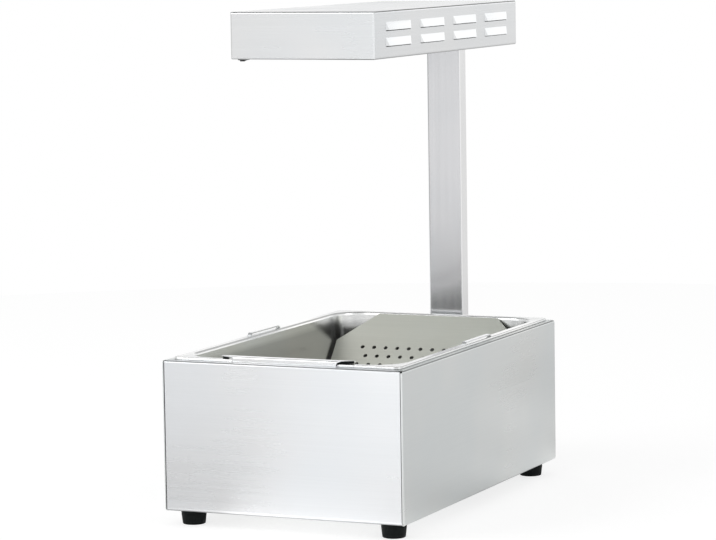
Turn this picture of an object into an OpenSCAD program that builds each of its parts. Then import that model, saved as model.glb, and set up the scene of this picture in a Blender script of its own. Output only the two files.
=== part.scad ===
// Counter-top chip warmer: a folded steel housing that carries a deep food pan with a sloping
// drain plate, and a louvred infrared lamp hood held above the pan by a rear post.
// Millimetres, +X to the right seen from the front, +Y towards the back, +Z up.
// The origin is the middle of the footprint, on the surface that the feet stand on.

/* [Housing] */
// Width of the deck on each side of the pan's well
deck_side_w = 18; // [16:0.5:50]
// Mean width of the deck in front of and behind the well
deck_end_w = 19.5; // [18:0.5:60]
// Distance of the well behind the middle of the housing
well_back = 4; // [0:0.5:4]
// Height of the folded housing panels
body_h = 199; // [190:1:260]
// Thickness of the folded steel sheet
sheet = 1.2; // [0.8:0.1:1.6]
// Outer radius of the sharp sheet bends
bend_r = 2.5; // [2:0.1:4]
// Outer radius of the soft bend along the foot of the front panel
soft_bend_r = 5; // [3:0.5:8]
// Open length at each corner where the deck's folds stop short
corner_notch = 8; // [7:0.5:10]
// Width of the upright seams at the corners
seam_gap = 0.8; // [0.4:0.1:1]
// Width of the inward fold along the foot of the front and rear panels
foot_fold_w = 12; // [10:1:13]
// Width of the inward fold that carries the feet
side_fold_w = 48; // [46:1:60]

/* [Feet] */
// Height of the rubber feet
foot_h = 20.2; // [15:0.1:40]
// Diameter of a foot under the housing
foot_top_d = 34; // [28:0.5:35]
// Diameter of a foot on the counter
foot_base_d = 30.5; // [24:0.5:35]
// Distance of a foot's axis from the side of the housing
foot_inset_x = 27.5; // [26:0.5:30]
// Distance of a foot's axis from the front or the back
foot_inset_y = 30.5; // [30:0.5:60]

/* [Food pan] */
// Width over the rim of the pan
pan_w = 325; // [300:1:327]
// Length over the rim of the pan
pan_l = 530; // [500:1:534]
// Depth of the pan from its rim to its underside
pan_depth = 150; // [100:1:165]
// Width of the flat rim
rim_w = 12; // [10:0.5:14]
// Height of the rim's top over the housing
rim_rise = 3.3; // [3:0.1:6]
// Wall thickness of the pan
pan_wall = 1; // [0.8:0.1:1.5]
// Corner radius of the pan's mouth
mouth_r = 40; // [34:1:60]
// Corner radius of the rim's outer edge
rim_r = 9; // [6:1:24]
// Lean of the pan's walls in degrees
pan_taper = 4.6; // [2:0.1:6]
// Radius between the pan's walls and its floor
floor_r = 21; // [14:1:26]

/* [Drain plate] */
// Slope of the drain plate in degrees
plate_angle = 44; // [38:1:50]
// Width of the plate's top edge between its cut corners
plate_top_w = 184; // [150:1:190]
// Full width of the plate
plate_w = 286; // [270:1:287]
// Thickness of the plate
plate_t = 1.2; // [0.8:0.1:2]
// Length of the flat toe that stands on the pan's floor
toe_l = 20; // [12:1:40]
// Diameter of the drain holes
drain_d = 6; // [4:0.5:10]
// Distance between drain holes
drain_pitch = 18; // [14:1:30]

/* [Lifting grips] */
// Length of the grips on the long sides
side_grip_l = 94; // [60:1:140]
// Inner length of the front grip
front_grip_l = 191; // [150:1:220]
// Outer length of the front grip
front_grip_outer_l = 146; // [110:1:180]
// Width of the side grips
grip_w = 6; // [5:0.5:10]
// Distance of the side grips from the rim's outer edge
grip_edge = 1; // [0.5:0.1:1.5]
// Distance of the side grips behind the middle of the pan
side_grip_back = 4; // [0:1:60]
// Length of each weld foot under the front grip
grip_foot_l = 9; // [6:1:14]
// Distance of the outer weld feet from the front grip's ends
grip_foot_inset = 30; // [20:1:40]
// Thickness of the grips
grip_t = 1.5; // [1:0.1:2]
// Height of the gap under the grips
grip_gap = 2.4; // [2:0.1:3.4]

/* [Rear post] */
// Width of the post
post_w = 51; // [46:1:70]
// Depth of the post
post_d = 22; // [21:1:36]
// Sheet thickness of the post
post_sheet = 1.5; // [1:0.1:2]
// Distance of the post from the rear panel
post_standoff = 10; // [8:1:20]
// Height of the post's lower end over the housing's underside
post_foot = 30; // [22:1:34]

/* [Lamp hood] */
// Width of the hood
hood_w = 206; // [200:1:260]
// Length of the hood
hood_l = 500; // [490:1:540]
// Height of the hood
hood_h = 62; // [58:1:80]
// Free height between the housing and the hood
hood_clear = 389; // [350:1:450]
// Width of the hood's inward fold along its sides
hood_fold_w = 12; // [10:1:14]
// Width of the hood's inward fold at the front
hood_front_fold_w = 26; // [24:1:30]

/* [Louvres] */
// Length of one louvre
louvre_l = 82; // [60:1:84]
// Height of one louvre
louvre_h = 12.4; // [10:0.2:13]
// Distance that a louvre stands out of the sheet
louvre_out = 3; // [2:0.2:4]
// Open height under the lip of a louvre
louvre_gap = 1.8; // [1.2:0.2:2.4]
// Length of the sloping ends of a louvre
louvre_end = 5; // [3:0.5:8]
// Distance between louvres along the hood
louvre_pitch = 114.5; // [92:0.5:116]
// Distance between the rows of louvres
row_pitch = 20.4; // [18:0.2:22]
// Louvres in one row
louvre_count = 4; // [2:1:4]

/* [Infrared lamps] */
// Diameter of the quartz tubes
tube_d = 12; // [10:0.5:14]
// Wall thickness of the quartz tubes
tube_wall = 1.2; // [0.8:0.1:1.6]
// Length of the quartz tubes
tube_l = 384; // [340:1:386]
// Distance between the two tubes
tube_spacing = 68; // [50:1:76]
// Diameter of the guard's rods
rod_d = 2.5; // [2:0.1:3]

/* [Switch and cable entry] */
// Width of the rocker switch
switch_w = 10.5; // [9:0.5:12]
// Length of the rocker switch
switch_l = 15.5; // [14:0.5:18]
// Tilt of the rocker at rest in degrees
rocker_tilt = 8; // [4:1:10]
// Bore of the cable gland
gland_bore = 7.2; // [6:0.2:9]

/* [Hidden] */
$fn = 48;
eps = 0.01;
fit = 0.3;
press = 0.1;

// The well in the housing's top that takes the pan, and the housing round it
pan_mouth = [pan_w / 2 - rim_w, pan_l / 2 - rim_w];
well_clear = 1.5;
well_x = pan_mouth[0] + pan_wall + well_clear;
well_y = pan_mouth[1] + pan_wall + well_clear;
body_w = 2 * (well_x + deck_side_w);
body_d = 2 * (well_y + deck_end_w);
deck_front_w = deck_end_w + well_back;
deck_rear_w = deck_end_w - well_back;
mitre_gap = 0.3;
seam_r = 0.8;

// Heights
deck_z = foot_h + body_h;
rim_z = deck_z + rim_rise;
hood_z = deck_z + hood_clear;
hood_top_z = hood_z + hood_h;
floor_plate_z = foot_h + sheet;

// Places along Y, worked out from the rear of the hood to the front of the housing
post_y = body_d + post_standoff;
post_back = post_y + post_d;
hood_back = post_back + press + sheet;
front_y = -hood_back / 2;
back_y = front_y + body_d;
post_front_y = front_y + post_y;
post_back_y = front_y + post_back;
hood_back_y = front_y + hood_back;
hood_front_y = hood_back_y - hood_l;

// The pan
pan_y = front_y + body_d / 2 + well_back;
pan_floor_z = rim_z - pan_depth + pan_wall;

// Fasteners
m4_d = 4;
m5_d = 5;
screw_clear = 0.5;

// A quarter ring of sheet for a bend: outer radius r, thickness t, turned by a
module bend(r, t, a) {
    rotate(a)
        intersection() {
            difference() {
                circle(r);
                circle(r - t);
            }
            square(r);
        }
}

// Section of a panel: a web of height h with a fold at its foot and one bend at its top
module panel_section(h, foot_w, foot_bend, top_bend, t) {
    translate([0, foot_bend])
        square([t, h - foot_bend - top_bend]);
    translate([foot_bend, foot_bend])
        bend(foot_bend, t, 180);
    translate([foot_bend, 0])
        square([foot_w - foot_bend, t]);
    translate([top_bend, h - top_bend])
        bend(top_bend, t, 90);
}

// Extrudes a section drawn in Y and Z along X, centred
module along_x(len) {
    rotate([90, 0, 90])
        linear_extrude(len, center = true)
            children();
}

// Extrudes a section drawn in X and Z along Y, from y to y + len
module along_y(y, len) {
    translate([0, y + len, 0])
        rotate([90, 0, 0])
            linear_extrude(len)
                children();
}

// Rounded rectangle between two corners, with true arcs
module round_rect(lo, hi, r) {
    translate([lo[0] + r, lo[1]])
        square([hi[0] - lo[0] - 2 * r, hi[1] - lo[1]]);
    translate([lo[0], lo[1] + r])
        square([hi[0] - lo[0], hi[1] - lo[1] - 2 * r]);
    for (x = [lo[0] + r, hi[0] - r], y = [lo[1] + r, hi[1] - r])
        translate([x, y])
            circle(r);
}

// A slot with round ends, centred, long in X
module slot(l, w) {
    square([l - w, w], center = true);
    for (x = [-1, 1])
        translate([x * (l - w) / 2, 0])
            circle(w / 2);
}

// A pan head with its shank, pointing down from z = 0
module pan_screw(d, len) {
    rotate_extrude()
        polygon([[0, 0.55 * d], [0.55 * d, 0.55 * d], [0.95 * d, 0.3 * d], [0.95 * d, 0],
            [d / 2, 0], [d / 2, -len], [0, -len]]);
}

module foot_places() {
    for (x = [-1, 1], y = [front_y + foot_inset_y, back_y - foot_inset_y])
        translate([x * (body_w / 2 - foot_inset_x), y, 0])
            children();
}

// Housing panels

side_start = bend_r + mitre_gap;

// One end of the side deck: the open corner, then a mitre against an end deck of width w
function side_deck_end(w) = let(m = min(deck_side_w, w)) concat(
    [[body_w / 2 - bend_r, corner_notch + mitre_gap], [body_w / 2 - corner_notch, corner_notch + mitre_gap],
        [body_w / 2 - m, m + mitre_gap]],
    m < deck_side_w ? [[well_x, m + mitre_gap]] : []);

module side_panel() {
    color("gainsboro") difference() {
        union() {
            along_y(front_y + side_start, body_d - 2 * side_start)
                translate([body_w / 2, foot_h])
                    mirror([1, 0])
                        panel_section(body_h, bend_r + fold_stub, bend_r, bend_r, sheet);
            // Inward fold that carries the feet
            translate([body_w / 2 - side_fold_w, front_y + foot_fold_w + 1, foot_h])
                cube([side_fold_w - bend_r, body_d - 2 * foot_fold_w - 2, sheet]);
            // Deck with mitred ends
            translate([0, 0, deck_z - sheet])
                linear_extrude(sheet)
                    polygon(concat([for (p = side_deck_end(deck_front_w)) [p[0], front_y + p[1]]],
                        [for (p = reversed(side_deck_end(deck_rear_w))) [p[0], back_y - p[1]]]));
            // Front and rear edges turned round the corner
            for (end = [[front_y, 1, 270], [back_y, -1, 0]])
                translate([body_w / 2 - bend_r, end[0] + end[1] * bend_r, foot_h + bend_r])
                    linear_extrude(body_h - 2 * bend_r)
                        bend(bend_r, sheet, end[2]);
            for (end = [front_y + bend_r, back_y - side_start])
                translate([body_w / 2 - sheet, end, foot_h + bend_r])
                    cube([sheet, mitre_gap, body_h - 2 * bend_r]);
        }
        foot_places()
            cylinder(d = m5_d + screw_clear, h = 2 * foot_h + 2 * sheet);
        // Open corners: the top fold stops short of both ends
        for (y = [front_y, back_y])
            translate([body_w / 2 - sheet - deck_side_w, y, deck_z])
                cube([2 * deck_side_w, 2 * (corner_notch + mitre_gap), 2 * bend_r], center = true);
    }
}

module side_right() {
    side_panel();
}

module side_left() {
    mirror([1, 0, 0])
        side_panel();
}

panel_half = body_w / 2 - bend_r - seam_gap;
fold_stub = 1;

// One end of the front or rear deck of width w: the open corner, then the mitre
function end_deck_end(w) = let(m = min(deck_side_w, w), x = body_w / 2 - mitre_gap) concat(
    [[x - corner_notch, bend_r], [x - corner_notch, corner_notch], [x - m, m]],
    w > m ? [[x - m, w]] : []);

// Front or rear panel with its deck, drawn for the front one
module end_panel(foot_bend, deck_w) {
    relief_l = foot_fold_w + 1 - bend_r;
    difference() {
        intersection() {
            along_x(2 * panel_half)
                translate([front_y, foot_h])
                    panel_section(body_h, foot_fold_w, foot_bend, bend_r, sheet);
            // Softens the panel's upright edges
            translate([0, 0, foot_h])
                linear_extrude(body_h)
                    round_rect([-panel_half, front_y], [panel_half, front_y + 2 * foot_fold_w], seam_r);
        }
        for (x = [-1, 1]) {
            // Room for the foot of the side panel's corner
            translate([x * body_w / 2, front_y + bend_r + relief_l / 2, foot_h])
                cube([2 * (bend_r + fold_stub + mitre_gap), relief_l, 2 * foot_bend], center = true);
            // Open corners: the top fold stops short of both ends
            translate([x * body_w / 2, front_y + sheet + deck_w / 2, deck_z])
                cube([2 * (corner_notch + mitre_gap), deck_w, 2 * bend_r], center = true);
        }
    }
    translate([0, 0, deck_z - sheet])
        linear_extrude(sheet)
            polygon(concat([for (p = end_deck_end(deck_w)) [p[0], front_y + p[1]]],
                [for (p = reversed(end_deck_end(deck_w))) [-p[0], front_y + p[1]]]));
}

module front_panel() {
    color("whitesmoke")
        end_panel(soft_bend_r, deck_front_w);
}

// Places on the rear panel
bracket_w = 92;
bracket_h = 132;
bracket_z = foot_h + 44;
bracket_fold_x = 36;
bracket_edge = 5;
bracket_screw_inset = 14;
post_screw_inset = 18;
lead_z = bracket_z + 42;
lead_d = 7;
grommet_hole_d = 14;
gland_x = 96;
gland_z = foot_h + 34;
gland_thread_d = 15.8;
vent_l = 44;
vent_w = 5;
vent_pitch = 12;
vent_count = 4;

module bracket_screw_places() {
    for (x = [-1, 1], z = [bracket_z + bracket_screw_inset, bracket_z + bracket_h - bracket_screw_inset])
        translate([x * (bracket_w / 2 - bracket_edge), back_y, z])
            rotate([-90, 0, 0])
                children();
}

module rear_panel() {
    color("gainsboro") difference() {
        translate([0, front_y + back_y, 0])
            mirror([0, 1, 0])
                end_panel(bend_r, deck_rear_w);
        bracket_screw_places()
            cylinder(d = m4_d + screw_clear, h = 4 * sheet, center = true);
        translate([0, back_y, lead_z])
            rotate([90, 0, 0])
                cylinder(d = grommet_hole_d, h = 4 * sheet, center = true);
        translate([gland_x, back_y, gland_z])
            rotate([90, 0, 0])
                cylinder(d = gland_thread_d + screw_clear, h = 4 * sheet, center = true);
        for (x = [-1, 1], i = [0:vent_count - 1])
            translate([x * 104, back_y, deck_z - 40 - i * vent_pitch])
                rotate([90, 0, 0])
                    linear_extrude(4 * sheet, center = true)
                        slot(vent_l, vent_w);
    }
}

plate_inset = soft_bend_r + 0.5;

module base_plate() {
    color("silver") difference() {
        translate([-body_w / 2 + plate_inset, front_y + plate_inset, floor_plate_z])
            cube([body_w - 2 * plate_inset, body_d - 2 * plate_inset, sheet]);
        foot_places()
            cylinder(d = m5_d + screw_clear, h = 2 * foot_h + 2 * sheet);
        for (x = [-1, 1], i = [-5:5])
            translate([x * 48, pan_y + i * 24, floor_plate_z - eps])
                linear_extrude(sheet + 2 * eps)
                    slot(60, 6);
    }
}

// Feet and their fasteners

foot_recess_d = 12;
foot_recess_h = 9;

module foot() {
    color([0.08, 0.09, 0.09])
        rotate_extrude()
            difference() {
                union() {
                    polygon([[0, 1.2], [foot_base_d / 2, 1.2], [foot_top_d / 2, foot_h - 1.5],
                        [foot_top_d / 2 - 0.8, foot_h], [0, foot_h]]);
                    polygon([[0, 0], [foot_base_d / 2 - 1, 0], [foot_base_d / 2, 1.2], [0, 1.2]]);
                }
                square([foot_recess_d / 2, foot_recess_h]);
                square([m5_d / 2 + screw_clear / 2, foot_h + 1]);
            }
}

module foot_at(sx, y) {
    translate([sx * (body_w / 2 - foot_inset_x), y, 0])
        foot();
}

module foot_front_left() {
    foot_at(-1, front_y + foot_inset_y);
}

module foot_front_right() {
    foot_at(1, front_y + foot_inset_y);
}

module foot_rear_left() {
    foot_at(-1, back_y - foot_inset_y);
}

module foot_rear_right() {
    foot_at(1, back_y - foot_inset_y);
}

nut_h = 4;

module foot_screws() {
    color("silver")
        foot_places()
            translate([0, 0, foot_recess_h])
                mirror([0, 0, 1])
                    pan_screw(m5_d, foot_h - foot_recess_h + 2 * sheet + nut_h + 2);
}

module foot_nuts() {
    color("silver")
        foot_places()
            translate([0, 0, floor_plate_z + sheet])
                difference() {
                    cylinder(d = 9.2, h = nut_h, $fn = 6);
                    translate([0, 0, -eps])
                        cylinder(d = m5_d + 2 * press, h = nut_h + 2 * eps);
                }
}

// Food pan: rings of a rounded rectangle, skinned from the underside over the rim to the floor

corner_steps = 7;
ring_n = 4 * (corner_steps + 1);

function ring(h, r, z) = [for (i = [0:3], j = [0:corner_steps])
    let(a = 90 * (i + j / corner_steps),
        cx = (i == 0 || i == 3) ? h[0] - r : r - h[0],
        cy = i < 2 ? h[1] - r : r - h[1])
    [cx + r * cos(a), cy + r * sin(a), z]];

function grow(h, d) = [h[0] + d, h[1] + d];

// Rings of one pan surface, from the floor up to the mouth: d is the offset from the inner face
function wall_rings(d) =
    let(slope = tan(pan_taper), arc = floor_r + d, base_z = pan_floor_z - d,
        foot = grow(pan_mouth, d - (rim_z - base_z - arc) * slope),
        foot_corner = mouth_r - 12 + d)
    [for (a = [0:18:90])
        [grow(foot, arc * sin(a) - arc), max(foot_corner - arc + arc * sin(a), 4),
            base_z + arc - arc * cos(a)],
     for (s = [0.5, 1])
        let(z = base_z + arc + s * (rim_z - 4 - base_z - arc))
        [grow(pan_mouth, d - (rim_z - z) * slope), foot_corner + s * 12, z]];

lip_r = 2.4;
rim_half = [pan_w / 2, pan_l / 2];

// Rings over the rim, from the outer wall to the inner one
function rim_rings() = concat(
    [for (a = [0:30:90])
        [grow(pan_mouth, pan_wall + lip_r * (1 - cos(a))), mouth_r + pan_wall + lip_r * (1 - cos(a)),
            rim_z - pan_wall - lip_r * (1 - sin(a))]],
    [[grow(rim_half, -pan_wall - 0.6), rim_r - pan_wall - 0.6, rim_z - pan_wall],
     [grow(rim_half, -pan_wall), rim_r - pan_wall, rim_z - pan_wall - 0.6],
     [grow(rim_half, -pan_wall), rim_r - pan_wall, deck_z + fit],
     [rim_half, rim_r, deck_z + fit]],
    [for (a = [0:30:90])
        [grow(rim_half, -1.6 * (1 - cos(a))), rim_r - 1.6 * (1 - cos(a)), rim_z - 1.6 * (1 - sin(a))]],
    [for (a = [90:-30:0])
        [grow(pan_mouth, (lip_r + pan_wall) * (1 - cos(a))), mouth_r + (lip_r + pan_wall) * (1 - cos(a)),
            rim_z - (lip_r + pan_wall) * (1 - sin(a))]]);

function reversed(v) = [for (i = [len(v) - 1:-1:0]) v[i]];

module skin(rings) {
    n = len(rings);
    points = [for (r = rings) each ring(r[0], r[1], r[2])];
    sides = [for (s = [0:n - 2], j = [0:ring_n - 1])
        let(a = s * ring_n + j, b = s * ring_n + (j + 1) % ring_n, c = a + ring_n, d = b + ring_n)
        each [[a, d, b], [a, c, d]]];
    polyhedron(points, concat([[for (j = [0:ring_n - 1]) j]], sides,
        [[for (j = [ring_n - 1:-1:0]) (n - 1) * ring_n + j]]), convexity = 8);
}

module food_pan() {
    color([0.8, 0.8, 0.78])
        translate([0, pan_y, 0])
            skin(concat(wall_rings(pan_wall), rim_rings(), reversed(wall_rings(0))));
}

// Grips on the rim

module side_grip() {
    z0 = rim_z + press;
    rise = grip_gap + grip_t;
    color("whitesmoke")
        translate([pan_w / 2 - grip_edge - grip_w / 2, pan_y + side_grip_back, z0])
            along_x(grip_w)
                polygon([[-side_grip_l / 2, 0], [-side_grip_l / 2 + rise, rise],
                    [side_grip_l / 2 - rise, rise], [side_grip_l / 2, 0],
                    [side_grip_l / 2 - grip_t * 1.4, 0],
                    [side_grip_l / 2 - grip_t * 1.4 - grip_gap, grip_gap],
                    [-side_grip_l / 2 + grip_t * 1.4 + grip_gap, grip_gap],
                    [-side_grip_l / 2 + grip_t * 1.4, 0]]);
}

module grip_right() {
    side_grip();
}

module grip_left() {
    mirror([1, 0, 0])
        side_grip();
}

module grip_front() {
    y_out = pan_y - pan_l / 2 - grip_t - press;
    y_in = pan_y - pan_mouth[1] - 1;
    z_top = rim_z + grip_gap + grip_t;
    lip_z = deck_z + fit;
    color("whitesmoke") {
        // Flat hand piece with slanting ends
        translate([0, 0, z_top - grip_t])
            linear_extrude(grip_t)
                polygon([[-front_grip_outer_l / 2, y_out], [front_grip_outer_l / 2, y_out],
                    [front_grip_l / 2, y_in], [-front_grip_l / 2, y_in]]);
        // Lip over the front edge of the rim
        translate([-front_grip_outer_l / 2, y_out, lip_z])
            cube([front_grip_outer_l, grip_t, z_top - lip_z]);
        // Feet welded to the rim
        for (x = [-1, 0, 1])
            translate([x * (front_grip_outer_l / 2 - grip_foot_inset) - grip_foot_l / 2, y_out,
                rim_z + press])
                cube([grip_foot_l, y_in - y_out - 4, grip_gap]);
    }
}

// Drain plate: a flat sheet that leans against the pan's back wall and stands on its floor

plate_top_z = rim_z - 1.3;
plate_top_y = pan_y + pan_mouth[1] - 3;
plate_foot_z = pan_floor_z + fit;
plate_bend_r = 2;
plate_bend_z = plate_foot_z + plate_t + plate_bend_r;
plate_bend_y = plate_top_y - (plate_top_z - plate_bend_z) / tan(plate_angle)
    - plate_bend_r / sin(plate_angle);
plate_cut = (plate_w - plate_top_w) / 2;
plate_low_half = pan_mouth[0] - (rim_z - pan_floor_z - floor_r) * tan(pan_taper) - 3.5;
plate_toe_half = plate_low_half - floor_r;
plate_cut_y = plate_top_y - plate_cut * cos(plate_angle);
plate_low_y = plate_bend_y + (floor_r + 2) / tan(plate_angle);
drain_rows = 6;
drain_top = 62;

// Section of the drain plate: the slope, a bend in short flats and the toe
module drain_section() {
    centre = [plate_bend_y, plate_bend_z];
    outer = plate_bend_r + plate_t;
    turn = [0:plate_angle / 4:plate_angle];
    polygon(concat(
        [[plate_bend_y - toe_l, plate_foot_z + plate_t], [plate_bend_y - toe_l, plate_foot_z]],
        [for (a = turn) centre + outer * [sin(a), -cos(a)]],
        [[plate_top_y + plate_t * sin(plate_angle), plate_top_z - plate_t * cos(plate_angle)],
            [plate_top_y, plate_top_z]],
        reversed([for (a = turn) centre + plate_bend_r * [sin(a), -cos(a)]])));
}

// Half outline of the drain plate seen from above
drain_half = [[plate_top_w / 2, plate_top_y + 5], [plate_top_w / 2, plate_top_y],
    [plate_w / 2, plate_cut_y], [plate_low_half, plate_low_y],
    [plate_toe_half, plate_bend_y], [plate_toe_half, plate_bend_y - toe_l - 5]];

module drain_plate() {
    color([0.72, 0.73, 0.68]) difference() {
        intersection() {
            along_x(2 * plate_w)
                drain_section();
            translate([0, 0, plate_foot_z - 5])
                linear_extrude(pan_depth + 10)
                    polygon(concat(drain_half, [for (p = reversed(drain_half)) [-p[0], p[1]]]));
        }
        translate([0, plate_top_y, plate_top_z])
            rotate([plate_angle, 0, 0])
                translate([0, 0, -2 * plate_t])
                    linear_extrude(3 * plate_t)
                        for (row = [0:drain_rows - 1])
                            for (x = [-5.5 + (row % 2) / 2:1:5.5])
                                translate([x * drain_pitch, -drain_top - row * drain_pitch * 0.87])
                                    circle(d = drain_d, $fn = 24);
    }
}

// Rear post with its cover and bracket

post_z = foot_h + post_foot;
post_top_z = hood_z + 46;
post_inner = post_w - 2 * post_sheet;
post_hole_x = 14;
post_hole_z = [bracket_z + post_screw_inset, bracket_z + bracket_h - post_screw_inset];
hood_hole_z = [hood_z + 12, hood_z + 26];
post_screw_l = post_sheet + sheet + m4_d;
lead_bend = 11;
lead_y = post_front_y + post_d / 2;
lead_top_z = hood_z + 35;

module post_section() {
    difference() {
        round_rect([-post_w / 2, post_front_y], [post_w / 2, post_back_y + 4], bend_r);
        round_rect([-post_inner / 2, post_front_y + post_sheet],
            [post_inner / 2, post_back_y + 8], bend_r - sheet);
        translate([-post_w, post_back_y])
            square([2 * post_w, 10]);
    }
}

module post() {
    color([0.78, 0.78, 0.8]) difference() {
        translate([0, 0, post_z])
            linear_extrude(post_top_z - post_z)
                post_section();
        for (x = [-1, 1], z = concat(post_hole_z, hood_hole_z))
            translate([x * post_hole_x, post_front_y, z])
                rotate([90, 0, 0])
                    cylinder(d = m4_d + screw_clear, h = 6 * post_sheet, center = true);
        for (z = [lead_z, lead_top_z])
            translate([0, post_front_y, z])
                rotate([90, 0, 0])
                    cylinder(d = lead_d + 3, h = 6 * post_sheet, center = true);
    }
}

cover_leg = 8;
cover_half = post_inner / 2 - press;

module post_cover() {
    color([0.76, 0.76, 0.78])
        translate([0, 0, post_z])
            linear_extrude(hood_z - post_z - 1) {
                translate([-cover_half, post_back_y - sheet])
                    square([2 * cover_half, sheet]);
                for (x = [-cover_half, cover_half - sheet])
                    translate([x, post_back_y - cover_leg])
                        square([sheet, cover_leg]);
            }
}

module post_bracket() {
    crown = bracket_fold_x / 2 + sheet;
    color("silver") difference() {
        translate([0, 0, bracket_z])
            linear_extrude(bracket_h) {
                for (x = [-1, 1]) {
                    translate([x * (bracket_w / 2 + bracket_fold_x / 2) / 2, back_y + sheet / 2])
                        square([(bracket_w - bracket_fold_x) / 2, sheet], center = true);
                    translate([x * (crown - sheet / 2), (back_y + post_front_y) / 2])
                        square([sheet, post_standoff], center = true);
                }
                translate([0, post_front_y - sheet / 2])
                    square([2 * crown, sheet], center = true);
            }
        bracket_screw_places()
            cylinder(d = m4_d + screw_clear, h = 4 * sheet, center = true);
        for (x = [-1, 1], z = post_hole_z)
            translate([x * post_hole_x, post_front_y, z])
                rotate([90, 0, 0])
                    cylinder(d = m4_d + screw_clear, h = 4 * sheet, center = true);
        translate([0, post_front_y, lead_z])
            rotate([90, 0, 0])
                cylinder(d = lead_d + 3, h = 4 * sheet, center = true);
    }
}

module bracket_screws() {
    color("silver")
        bracket_screw_places()
            translate([0, 0, sheet])
                pan_screw(m4_d, 2 * sheet + 1.5 * m4_d);
}

module post_screws() {
    color("silver")
        for (x = [-1, 1], z = post_hole_z)
            translate([x * post_hole_x, post_front_y + post_sheet, z])
                rotate([-90, 0, 0])
                    pan_screw(m4_d, post_screw_l);
}

// Lamp hood

// A closed box with every edge rounded
module round_box(lo, hi, r) {
    intersection() {
        along_y(lo[1], hi[1] - lo[1])
            round_rect([lo[0], lo[2]], [hi[0], hi[2]], r);
        translate([0, 0, lo[2]])
            linear_extrude(hi[2] - lo[2])
                round_rect([lo[0], lo[1]], [hi[0], hi[1]], r);
        along_x(2 * hi[0])
            round_rect([lo[1], lo[2]], [hi[1], hi[2]], r);
    }
}

// A louvre's solid hood: sloping outwards and down, with sloping ends, drawn for the right side
module louvre(l, h, out) {
    intersection() {
        along_y(-l / 2, l)
            polygon([[-out, h / 2], [0, h / 2], [out, louvre_gap - h / 2], [-out, louvre_gap - h / 2]]);
        translate([0, 0, -h])
            linear_extrude(2 * h)
                polygon([[-out, -l / 2], [0, -l / 2], [out, louvre_end - l / 2],
                    [out, l / 2 - louvre_end], [0, l / 2], [-out, l / 2]]);
    }
}

module louvre_places() {
    for (side = [0, 1], row = [-0.5, 0.5], i = [0:louvre_count - 1])
        mirror([side, 0, 0])
            translate([hood_w / 2, (hood_front_y + hood_back_y) / 2
                + (i - (louvre_count - 1) / 2) * louvre_pitch,
                (hood_z + hood_top_z) / 2 + row * row_pitch])
                children();
}

module hood_shell() {
    back = hood_back_y - sheet;
    inner_r = bend_r - sheet;
    lo = [-hood_w / 2, hood_front_y, hood_z];
    hi = [hood_w / 2, back + 3 * bend_r, hood_top_z];
    color("whitesmoke") difference() {
        union() {
            difference() {
                round_box(lo, hi, bend_r);
                round_box([for (v = lo) v + sheet], [for (v = hi) v - sheet], inner_r);
                louvre_places()
                    cube([4 * sheet, louvre_l - 1, louvre_h - 1], center = true);
            }
            louvre_places()
                difference() {
                    louvre(louvre_l, louvre_h, louvre_out);
                    translate([-sheet, 0, -0.6])
                        louvre(louvre_l - 1.6, louvre_h, louvre_out);
                    translate([-louvre_out - sheet, 0, 0])
                        cube([2 * louvre_out, 2 * louvre_l, 2 * louvre_h], center = true);
                }
        }
        // Open bottom inside the folds
        translate([-hood_w / 2 + hood_fold_w, hood_front_y + hood_front_fold_w, hood_z - eps])
            cube([hood_w - 2 * hood_fold_w, hood_l, sheet + 2 * eps]);
        // Open rear end
        translate([-hood_w, back, hood_z - hood_h])
            cube([2 * hood_w, 10 * bend_r, 3 * hood_h]);
        // Cut-out for the switch
        translate([switch_x, switch_y, hood_z])
            cube([switch_neck_w + fit, switch_neck_l + fit, 4 * sheet], center = true);
    }
}

rear_fold = 20;

module hood_rear() {
    plate_y = hood_back_y - sheet;
    color("gainsboro") {
        along_y(plate_y, sheet)
            round_rect([-hood_w / 2, hood_z], [hood_w / 2, hood_top_z], bend_r);
        // Folds inside the shell: under the roof, along the sides and along the foot
        translate([-hood_w / 2 + 8, plate_y - rear_fold, hood_top_z - 2 * sheet])
            cube([hood_w - 16, rear_fold, sheet]);
        for (x = [-hood_w / 2 + sheet, hood_w / 2 - 2 * sheet])
            translate([x, plate_y - rear_fold, hood_z + 8])
                cube([sheet, rear_fold, hood_h - 16]);
        for (x = [-hood_w / 2 + hood_fold_w + 0.5, post_w / 2 + 2])
            translate([x, plate_y - rear_fold, hood_z])
                cube([hood_w / 2 - hood_fold_w - 2.5 - post_w / 2, rear_fold, sheet]);
    }
}

module hood_bracket() {
    flange = 44;
    color("silver") difference() {
        union() {
            translate([-post_w / 2, post_front_y - sheet, hood_z + 4])
                cube([post_w, sheet, hood_top_z - sheet - hood_z - 4]);
            translate([-post_w / 2, post_front_y - flange, hood_top_z - 2 * sheet])
                cube([post_w, flange, sheet]);
        }
        for (x = [-1, 1], z = hood_hole_z)
            translate([x * post_hole_x, post_front_y, z])
                rotate([90, 0, 0])
                    cylinder(d = m4_d + screw_clear, h = 4 * sheet, center = true);
        translate([0, post_front_y, lead_top_z])
            rotate([90, 0, 0])
                cylinder(d = lead_d + 3, h = 4 * sheet, center = true);
    }
}

module hood_screws() {
    color("silver")
        for (x = [-1, 1], z = hood_hole_z)
            translate([x * post_hole_x, post_front_y + post_sheet, z])
                rotate([-90, 0, 0])
                    pan_screw(m4_d, post_screw_l);
}

// Reflector, lamps and guard

reflector_t = 0.8;
reflector_y0 = hood_front_y + hood_front_fold_w + 3;
reflector_y1 = post_front_y - 46;
reflector_len = reflector_y1 - reflector_y0;
reflector_z0 = hood_z + sheet;
reflector_roof_gap = 9;
reflector_z1 = hood_top_z - reflector_roof_gap;
reflector_foot = hood_w / 2 - hood_fold_w - 3;
reflector_top = tube_spacing / 2 + 12;

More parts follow.
